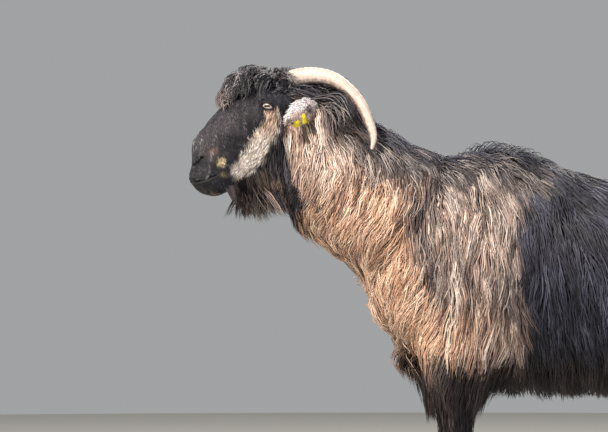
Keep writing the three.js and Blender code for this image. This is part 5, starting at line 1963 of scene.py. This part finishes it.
@dataclass
class GoatCoat:
    """The whole coat, region by region."""

    skin: Object
    head: HeadSkin
    material: Material
    pieces: list[Object] = field(default_factory=list)

    def __post_init__(self) -> None:
        """Gets ready to draw roots from the skin."""
        self.scatter = Scatter(self.skin)

    def plant(self, density: Density, seed: int, mass: Mass) -> Roots:
        """Roots at a density, unwrapped on one mass."""
        roots = self.scatter.roots(density, np.random.default_rng(SEED + seed))
        return unwrapped(roots, mass, mirror=False)

    def add(self, name: str, tufts: Tufts, colours: Array | None = None) -> None:
        """Makes a piece of tufts, in the colours of the markings where no others are given."""
        obj = tufts.mesh(name, tufts.colours() if colours is None else colours, self.material)
        self.pieces.append(obj)
        log.info("%s: %d triangles", obj.name, sum(len(f.vertices) - 2 for f in obj.data.polygons))

    def add_dark(self, name: str, tufts: Tufts) -> None:
        """Makes a piece of the forelock's own dark colour."""
        colour = Coat.FORELOCK.value.pick(np.clip(0.85 * tufts.tone, 0, 1))
        # The darker roots paint the shade between the tufts, the brighter tips partly a highlight.
        self.add(name, tufts, tufts.brightened(colour, (0.55, 1, 1.2)))

    @staticmethod
    def bald(p: Array) -> Array:
        """0 where an ear or a horn grows, and 1 elsewhere."""
        horn = np.full(len(p), FAR)
        for side in SIDES.values():
            for at in HORNS.curve(side, np.linspace(0, 0.3, 8)):
                horn = np.minimum(horn, np.linalg.norm(p - at[:3], axis=1) - at[3])
        return (horn > -2) * (1 - ear_share(p))

    def long_coat(self) -> None:
        """The long hair of the neck, trunk, thighs and upper arms."""

        def density(p: Array) -> Array:
            """Tufts for each square centimetre."""
            which = BODY.nearest(p)
            on = np.isin(which, ("trunk", "neck")) | ((p[:, 2] > 400) & np.isin(which, list(LEGS)))
            inner = ease(40, 20, np.abs(p[:, 1])) * ease(470, 430, p[:, 2])
            dense = np.interp(p[:, 0], (40, 90, 340, 360), (6.5, 4.2, 3.85, 3.45))
            return dense * on * (1 - 0.6 * inner) * self.bald(p)

        roots = self.scatter.roots(density, np.random.default_rng(SEED))
        x = roots.at[:, 0]
        neck = (BODY.nearest(roots.at) == "neck") & (x < -150)
        regions = {
            "neck": neck,
            "shoulder": (x < 60) & ~neck,
            "flank": (x >= 60) & (x < 345),
            "rump": x >= 345,
        }
        for region, inside in regions.items():
            for side_name, side in SIDES.items():
                picked = roots.take(inside & (roots.at[:, 1] * side > 0))
                mass = NECK if region == "neck" else TRUNK
                self.grow_long(f"coat_{region}_{side_name}", unwrapped(picked, mass))

    def grow_long(self, name: str, roots: Roots) -> None:
        """One piece of the long coat."""
        p, out = roots.at, roots.out
        x, z = p[:, 0], p[:, 2]
        crown = np.maximum(0, out[:, 2])
        free = ease(-0.1, -0.75, out[:, 2]) * mix(1, 0.2, ease(-60, -130, x) * ease(-330, -300, x))
        free = np.maximum(free, ease(500, 430, z))
        chest = ease(-150, -190, x)
        length = 104 * (1 - 0.2 * crown) * (1 + 0.12 * free)
        length = length * np.interp(x, (-380, -300, -150, 60, 640), (0.55, 0.8, 1, 1.05, 1))
        length = length * mix(1, 0.62, ease(430, 380, z))
        length = length * mix(1, 0.8, chest * ease(640, 600, z))
        throat = ease(-230, -300, x) * ease(740, 690, z)
        nape = ease(-165, -215, x) * ease(0.3, 0.75, out[:, 2])
        over = np.interp(x, (-380, -320, -200, -60, 60, 640), (16, 24, 25, 23, 23, 22))
        over = over + 6 * throat - 5 * ease(440, 400, z)
        over = over + 5 * crown + 6 * nape
        over = over * mix(1, 0.5, ease(-120, -180, x) * ease(690, 560, z))
        # A few tufts of the withers stand up.
        chosen = np.random.default_rng(len(roots)).uniform(0, 1, len(p)) > 0.8
        withers = bump(x - 5, 55) * ease(0.75, 0.98, out[:, 2]) * chosen
        growth = Growth(
            length=length, width=np.interp(x, (40, 100, 360), (2.3, 2.8, 3.0)), thick=1.0,
            over=over + 24 * withers, steps=3 if x.mean() > 400 else 4,
            droop=0.10 + 0.5 * free + 0.25 * chest * bump(z - 560, 90),
            hug=(1 - 0.75 * free) * (1 - 0.8 * withers), even=mix(0.3, 0.72, ease(0.45, 0.85, out[:, 2])),
            wave=4.4 if x.mean() < 60 else 3.4, wave_length=72,
        )
        tufts = Tufts(roots, body_way, growth, SEED + len(self.pieces))
        # Where the chest narrows, tufts that stand out or bend back are dropped.
        tips = unit(tufts.lines[:, -1] - tufts.lines[:, -2])
        x, z = tufts.roots.at[:, 0], tufts.roots.at[:, 2]
        wild = dot(tips, tufts.outs[:, -1])[:, 0] > 0.3
        wild |= tufts.straightness() < mix(0.8, 0.4, ease(480, 620, z))
        tufts.keep(~(wild & (x < -125) & (z < 640)))
        self.add(name, tufts)

    def face(self) -> None:
        """The short hair of the head, finest on the muzzle."""

        def density(p: Array) -> Array:
            """Tufts for each square centimetre."""
            on = (BODY.nearest(p) == "head") * ease(150, 146, HEAD.local(p)[1])
            covered = 1 - np.clip(Skin.bare(p, self.head) * 1.3, 0, 1)
            return on * covered * self.bald(p) * mix(14.6, 9.4, ease(-470, -400, p[:, 0]))

        roots = self.plant(density, 1, HEAD)
        back = ease(-455, -350, roots.at[:, 0])
        jaw = ease(-40, -80, HEAD.above(roots.at))
        growth = Growth(
            length=mix(7.5, 17, back) + 9 * jaw * back, width=mix(1.1, 1.5, back), thick=0.6,
            over=mix(1.1, 2.8, back) + 2 * jaw * back, even=0.5, droop=0.05, hug=0.9, wave=0.4,
            wave_length=14, stray=0.12, clump=0.35, clump_every=5, sink=1.0, steps=3, lift=(0.6, 1.0, 0.9),
        )
        tufts = Tufts(roots, face_way, growth, SEED + 30)
        # The darker roots paint the shade between the tufts.
        self.add("coat_face", tufts, tufts.colours(0.5, 0.7, 1.1, 1.0))

    def forelock(self) -> None:
        """The curly forelock, from between the horns forwards and down over the forehead."""

        def density(p: Array) -> Array:
            """Tufts for each square centimetre."""
            held, _, turn = HEAD.local(p)
            wide = ease(mix(0.85, 0.6, ease(-60, 0, held)), 0.4, np.abs(turn))
            on = ease(-92, -76, held) * ease(16, 0, held) * wide
            return 36 * on * (BODY.nearest(p) == "head") * self.bald(p)

        def way(p: Array, out: Array) -> Array:
            """Forwards and down, fanned to both sides."""
            fan = 0.12 * np.sin(HEAD.local(p)[2]) + 0.2 * ripple(p, 24, 40)
            return np.array(HEAD.along) + fan[:, None] * CROSS

        roots = self.plant(density, 2, HEAD)
        held, _, turn = HEAD.local(roots.at)
        growth = Growth(
            length=mix(70, 36, ease(-60, 12, held)) * (1 - 0.72 * ease(0.25, 0.85, np.abs(turn))),
            width=1.9, thick=0.9,
            over=mix(32, 22, ease(-50, 8, held)) * (1 - 0.8 * ease(0.3, 0.85, np.abs(turn))), droop=0.03,
            hug=0.85, wave=3.6, wave_length=44, loose=0.5, curl=2.2, stray=0.3, clump=0.5, clump_every=11,
            steps=5, lift=(0.65, 1.0, 0.95, 0.62, 0.2),
        )
        tufts = Tufts(roots, way, growth, SEED + 31)
        r = tufts.tone * 0.9
        x, z = tufts.lines[:, 3, 0], tufts.lines[:, 3, 2]
        # Paler brownish hairs at the front and lower edge: partly their own colour, partly a painted
        # highlight along the edge.
        rim = ease(-440, -482, x) * ease(930, 900, z)
        # Painted highlight on the top of the forelock, where the light falls from above.
        lit = 0.4 * ease(920, 938, z) * ease(-372, -392, x)
        colour = mix(Coat.FORELOCK.value.pick(r), Coat.LOCK_RIM.value.pick(r), rim[:, None])
        colour = mix(colour, Coat.GREY_AND_HIGHLIGHT.value.pick(r), lit[:, None])
        # The darker roots paint the shade between the tufts, the brighter tips partly a highlight.
        self.add("coat_forelock", tufts, tufts.brightened(colour, (0.5, 1, 1.25)))

    def mop(self) -> None:
        """The part of the forelock that falls outwards over the bases of the horns."""

        def density(p: Array) -> Array:
            """Tufts for each square centimetre."""
            held, _, turn = HEAD.local(p)
            on = ease(-94, -86, held) * ease(-36, -50, held) * ease(0.9, 0.6, np.abs(turn))
            return 26 * on * (BODY.nearest(p) == "head") * self.bald(p)

        def way(p: Array, out: Array) -> Array:
            """Outwards and a little ahead."""
            fan = np.sign(p[:, 1]) * (0.8 + 0.4 * ripple(p, 20, 41))
            ahead = (0.5 + 0.5 * ripple(p, 18, 42)) * ease(-92, -58, HEAD.local(p)[0])
            return ahead[:, None] * np.array([-0.9, 0, 0.1]) + fan[:, None] * CROSS

        growth = Growth(
            length=52, width=2.0, thick=0.9, over=36, even=0.55, hug=0.7, wave=3.4, wave_length=46,
            loose=0.5, curl=2.0, stray=0.3, clump=0.6, steps=5, lift=(0.75, 1.0, 0.95, 0.65, 0.3),
        )
        self.add_dark("coat_mop", Tufts(self.plant(density, 8, HEAD), way, growth, SEED + 37))

    def mane(self) -> None:
        """The mane that rises between the horns and falls back along the neck."""

        def density(p: Array) -> Array:
            """Tufts for each square centimetre."""
            held, _, turn = NECK.local(p)
            on = ease(135, 105, held) * ease(0.95, 0.6, np.abs(turn))
            return 9.0 * on * ((BODY.nearest(p) == "neck") | (HEAD.local(p)[1] < -76)) * self.bald(p)

        def way(p: Array, out: Array) -> Array:
            """Back along the crest, falling to both sides."""
            fan = 0.22 * np.sign(p[:, 1]) + 0.2 * ripple(p, 30, 43)
            return np.array([0.9, 0, -0.3]) + fan[:, None] * CROSS

        roots = self.plant(density, 9, NECK)
        over = np.interp(roots.at[:, 0], (-345, -320, -300, -270, -245, -200), (56, 84, 76, 50, 30, 20))
        growth = Growth(
            length=84, width=2.3, thick=1.0, over=over * (1 - 0.35 * np.abs(NECK.local(roots.at)[2])),
            even=0.5, hug=0.7, wave=2.6, steps=5, lift=(0.5, 0.85, 1.0, 0.97, 0.8),
        )
        self.add("coat_mane", Tufts(roots, way, growth, SEED + 38))

    def horn_cuffs(self) -> None:
        """The hair that grows up round the bases of the horns and lies along them."""
        rng = np.random.default_rng(SEED + 7)

        def far(p: Array, side: float) -> Array:
            """Distance from the axis of a horn, near its base."""
            return np.linalg.norm(p - HORNS.curve(side, np.array([0.03]))[0, :3], axis=1)

        def density(p: Array) -> Array:
            """Tufts for each square centimetre."""
            near = np.minimum(far(p, -1.0), far(p, 1.0))
            return 17 * ease(36, 27, near) * ease(10, 14, near)

        def way(p: Array, out: Array) -> Array:
            """Back along the horn at its foot, and outwards and down over it further up."""
            side = np.where(p[:, 1] > 0, 1.0, -1.0)[:, None]
            along = HORNS.frame(1.0, np.array([0.1]))[1][0]
            back = along * np.where([True, False, True], 1.0, side) + 0.35 * out + 0.15 * side * CROSS
            fall = np.array([-0.25, 0, -0.35]) + (0.9 + 0.5 * ripple(p, 16, 46))[:, None] * side * CROSS
            return np.where(up[:, None], fall, back)

        roots = self.scatter.roots(density, rng)
        on_skin = len(roots)
        u, turn = rng.uniform(0.0, 0.105, 620), rng.uniform(-math.pi, math.pi, 620)
        for side in SIDES.values():
            row, _, across, over = HORNS.frame(side, u)
            out = np.cos(turn)[:, None] * over + np.sin(turn)[:, None] * across
            at = row[:, :3] + row[:, 3:4] * np.cos(turn)[:, None] * over
            at = at + row[:, 4:5] * np.sin(turn)[:, None] * across
            roots = Roots(np.vstack([roots.at, at]), np.vstack([roots.out, out]))
        up = np.arange(len(roots)) >= on_skin
        growth = Growth(
            length=np.where(up, 36, 26), width=1.9, thick=0.9, over=np.where(up, 5, 18), loose=1.0,
            droop=np.where(up, 0.16, 0.03), hug=np.where(up, 0.3, 0.5), wave=2.2, wave_length=26,
            stray=0.3, clump=0.55, clump_every=9, steps=3, lift=(0.6, 0.95, 1.0),
        )
        roots = unwrapped(roots, HEAD, mirror=False)
        self.add_dark("coat_horn_cuffs", Tufts(roots, way, growth, SEED + 36))

    def beard(self) -> None:
        """The beard and the fringe under the jaw."""

        def density(p: Array) -> Array:
            """Tufts for each square centimetre."""
            held, _, turn = HEAD.local(p)
            on = ease(-45, -20, held) * ease(120, 108, held) * ease(2.2, 2.5, np.abs(turn))
            return 20 * on * (BODY.nearest(p) == "head")

        def way(p: Array, out: Array) -> Array:
            """Down and back, drawn in to the middle."""
            back = np.interp(HEAD.local(p)[0], (-40, 40, 75, 95, 112), (0.5, 0.4, 0.25, 0.45, 0.75))
            return np.stack([back, -0.012 * p[:, 1], np.full(len(p), -0.7)], axis=1)

        roots = self.plant(density, 3, HEAD)
        held = HEAD.local(roots.at)[0]
        growth = Growth(
            length=np.interp(held, (-40, 20, 50, 72, 92, 106, 118), (74, 74, 84, 106, 84, 44, 22)),
            width=2.3, thick=1.0, over=np.interp(held, (-40, 95), (16, 8)), droop=0.5, hug=0.1, wave=1.6,
            wave_length=40, stray=0.14, clump=0.78, clump_every=20,
        )
        self.add("coat_beard", Tufts(roots, way, growth, SEED + 32))

    def legs(self) -> None:
        """The short hair of the legs, longer behind them and over the hooves."""

        def density(p: Array) -> Array:
            """Tufts for each square centimetre."""
            on = np.isin(BODY.nearest(p), list(LEGS)) & (p[:, 2] < 412) & (p[:, 2] > 44)
            return on * mix(4.8, 3.2, ease(240, 400, p[:, 2]))

        def way(p: Array, out: Array) -> Array:
            """Down the leg and a little to its rear."""
            return np.broadcast_to([0.22, 0.0, -1.0], p.shape)

        roots = self.scatter.roots(density, np.random.default_rng(SEED + 4))
        which = BODY.nearest(roots.at)
        for name, mass in LEGS.items():
            picked = unwrapped(roots.take(which == name), mass, mirror=False)
            behind = np.clip(picked.out[:, 0], 0, 1)
            high = ease(230, 400, picked.at[:, 2])
            low = bump(picked.at[:, 2] - 62, 26)
            growth = Growth(
                length=mix(17, 52, high) + 16 * behind * mix(0.7, 1, high) + 8 * low,
                width=mix(2.0, 2.9, high), thick=0.8, over=mix(2.4, 12, high) + 3 * behind, hug=0.85,
                wave=mix(0.5, 1.2, float(high.mean())), wave_length=30, stray=0.14, clump=0.5,
                clump_every=7, sink=1.2, steps=3, lift=(0.6, 1.0, 0.8),
            )
            tufts = Tufts(picked, way, growth, SEED + 33)
            tufts.lines[:, 1:, 2] = np.maximum(tufts.lines[:, 1:, 2], 14.0)
            self.add(f"coat_leg_{name}", tufts)

    def tail(self) -> None:
        """The long hair of the tail."""

        def density(p: Array) -> Array:
            """Tufts for each square centimetre."""
            return 11.0 * (BODY.nearest(p) == "tail")

        def way(p: Array, out: Array) -> Array:
            """Along the tail and a little out of it."""
            return np.array(TAIL.along) + 0.3 * out

        growth = Growth(
            length=72, width=2.8, thick=1.1, over=12, droop=0.28, hug=0.35, wave=2.0, clump=0.6,
        )
        self.add("coat_tail", Tufts(self.plant(density, 5, TAIL), way, growth, SEED + 34))

    def ears(self, count: int = 1700) -> None:
        """Short silver hair on both sides of the ears, with so many tufts on each."""
        for side_name, side in SIDES.items():
            rng = np.random.default_rng(SEED + 6)
            u, share = rng.uniform(0.02, 0.99, count), rng.uniform(-1, 1, count)
            back = np.where(rng.uniform(0, 1, count) < 0.62, 1.0, -1.0)
            at, out = EAR.sheet(side, u, share, back)
            unwrap = np.c_[mix(0.02, 0.98, u), 0.5 + 0.24 * back + 0.22 * share * back]
            edge = 1 + 0.6 * (np.abs(share) > 0.85) + 0.5 * (u > 0.9)
            tipwards = unit(EAR.frame(side)[1])

            def way(p: Array, out: Array) -> Array:
                """Towards the tip."""
                return np.broadcast_to(tipwards, p.shape)

            growth = Growth(
                length=7 * edge, width=1.6, thick=0.5, over=0, steps=3, droop=0.3, stray=0.28, clump=0,
            )
            tufts = EarTufts(Roots(at, out, unwrap), way, growth, SEED + 35)
            r = 0.2 + 0.8 * tufts.tone
            outside = back > 0
            high = ease(-0.35, 0.35, share - 0.6 * (u - 0.5) + 0.2 * ripple(at, 12, 44)) * outside
            colour = mix(Coat.EAR_LOW.value.pick(r), Coat.EAR.value.pick(r), high[:, None])
            grey = ease(0.5, 0.15, u) * ease(0.5, -0.4, share) * outside * ease(0.85, 0.4, r)
            colour = mix(colour, linear("#5d616c"), (0.75 * grey)[:, None])
            far = np.hypot((u - 0.34) * 46, (share + 0.15) * 18) + 2 * ripple(at, 9, 45)
            dark = ease(9, 4, far) * outside * ease(1, 0.75, r)
            colour = mix(colour, linear("#202126"), (0.92 * dark)[:, None])
            # The darker roots paint the shade between the tufts, the brighter tips partly a highlight.
            self.add(f"coat_ear_{side_name}", tufts, tufts.brightened(colour, (0.8, 1.1, 1.2)))

    def build(self) -> list[Object]:
        """Every piece of the coat."""
        pieces = (
            self.long_coat, self.face, self.forelock, self.mop, self.mane, self.horn_cuffs, self.beard,
            self.legs, self.tail, self.ears,
        )
        for piece in pieces:
            piece()
        return self.pieces


# ---- Studio ----------
@dataclass(frozen=True)
class Lamp:
    """A soft box: where it hangs in metres from the goat's middle, its size, power and colour."""

    name: str
    at: Triple
    size: float
    power: float
    colour: str


@dataclass
class Studio:
    """Floor, light and camera."""

    floor_radius: float = 7.0
    aim: Triple = (-320.0, 0.0, 671.0)  # the middle of the view, in millimetres from the withers
    distance: float = 8.0
    view_width: float = 1.107  # metres across the view at the goat
    sensor: float = 36.0
    lit: Triple = (100.0, 0.0, 550.0)  # what the lamps point at, in millimetres from the withers
    surround: float = 0.5  # strength of the light from all sides
    lamps: tuple[Lamp, ...] = (
        Lamp("key", (-3.4, -4.0, 4.4), 1.5, 700, "#fff3e6"),
        Lamp("fill", (3.6, -3.6, 2.2), 3.4, 90, "#eef3ff"),
        Lamp("rim", (1.5, 4.2, 3.6), 2.6, 220, "#fff8ee"),
        Lamp("far_fill", (-3.8, 3.0, 2.4), 3.0, 80, "#f2f5ff"),
    )

    def floor(self) -> Object:
        """A round floor of pale paper."""
        obj = primitive("studio_floor", "circle", vertices=96, radius=self.floor_radius, fill_type="NGON")
        obj.data.materials.append(FloorFinish().make())
        return obj

    def light(self) -> None:
        """Soft boxes round the goat and a pale surround."""
        middle = Vector(ROW.metres(np.array(self.lit)))
        for lamp in self.lamps:
            data = bpy.data.lights.new(lamp.name, "AREA")
            data.shape = "DISK"
            data.size = lamp.size
            data.energy = lamp.power
            data.color = tuple(linear(lamp.colour))
            obj = bpy.data.objects.new(lamp.name, data)
            bpy.context.scene.collection.objects.link(obj)
            obj.location = middle + Vector(lamp.at)
            obj.rotation_euler = (middle - obj.location).to_track_quat("-Z", "Y").to_euler()
        world = bpy.data.worlds.new("studio")
        world.use_nodes = True
        surround = world.node_tree.nodes["Background"]
        surround.inputs["Color"].default_value = rgba("#dcdedf")
        surround.inputs["Strength"].default_value = self.surround
        bpy.context.scene.world = world
        bpy.context.scene.view_settings.view_transform = "Standard"

    def camera(self) -> None:
        """The camera on the goat's left, level with its neck."""
        data = bpy.data.cameras.new("camera")
        data.sensor_width = self.sensor
        data.lens = self.sensor * self.distance / self.view_width
        data.clip_end = 60
        obj = bpy.data.objects.new("camera", data)
        bpy.context.scene.collection.objects.link(obj)
        obj.location = Vector(ROW.metres(np.array(self.aim))) + Vector((0, -self.distance, 0))
        obj.rotation_euler = (math.radians(90), 0, 0)
        bpy.context.scene.camera = obj

    def build(self) -> None:
        """Sets up the studio."""
        self.floor()
        self.light()
        self.camera()


# ---- The goat ----------
def settle(obj: Object, slot: str, *nodes: str) -> None:
    """Rides a finished piece on the goat and hides the nodes that it stands for; the slot is not used."""
    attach(obj, "root")
    if nodes:
        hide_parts(*nodes)
    log.info("%s in place", obj.name)


def flesh_nodes() -> list[str]:
    """The nodes that the skin stands for."""
    whole = ["head", "neck", "shoulders", "barrel", "rump", "tail", "ear_left", "ear_right"]
    return whole + [f"leg_{name}_{part}" for name in LEGS for part in ("upper", "lower")]


def main() -> None:
    """Builds the goat, then its studio."""
    logging.basicConfig(level=logging.INFO, format="%(name)s %(message)s")
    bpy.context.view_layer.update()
    deselect()
    head = HeadSkin()
    skin = Skin().build(head, SkinFinish().make())
    settle(skin, "black_fur", *flesh_nodes())
    coat = GoatCoat(skin, head, HairFinish().make())
    for piece in coat.build():
        settle(piece, "black_fur")
    horn = HornFinish().make()
    eye = EyeFinish().make()
    for side_name in SIDES:
        settle(HORNS.build(side_name, horn), "horn_sheath", f"horn_{side_name}")
        settle(Eyes().build(side_name, eye), "eye", f"eye_{side_name}")
    hooves, hoof = Hooves(), HoofFinish().make()
    for name in LEGS:
        for which in ("inner", "outer"):
            settle(hooves.claw(name, which, hoof), "hoof_horn", f"hoof_{name}_{which}")
        settle(hooves.dew_claws(name, hoof), "hoof_horn")
    tags, tag = EarTags(), TagFinish().make()
    for number in (1, 2):
        settle(tags.build(number, tag), "tag_plastic", f"ear_tag_{number}")
    Studio().build()


if __name__ == "__main__":
    main()
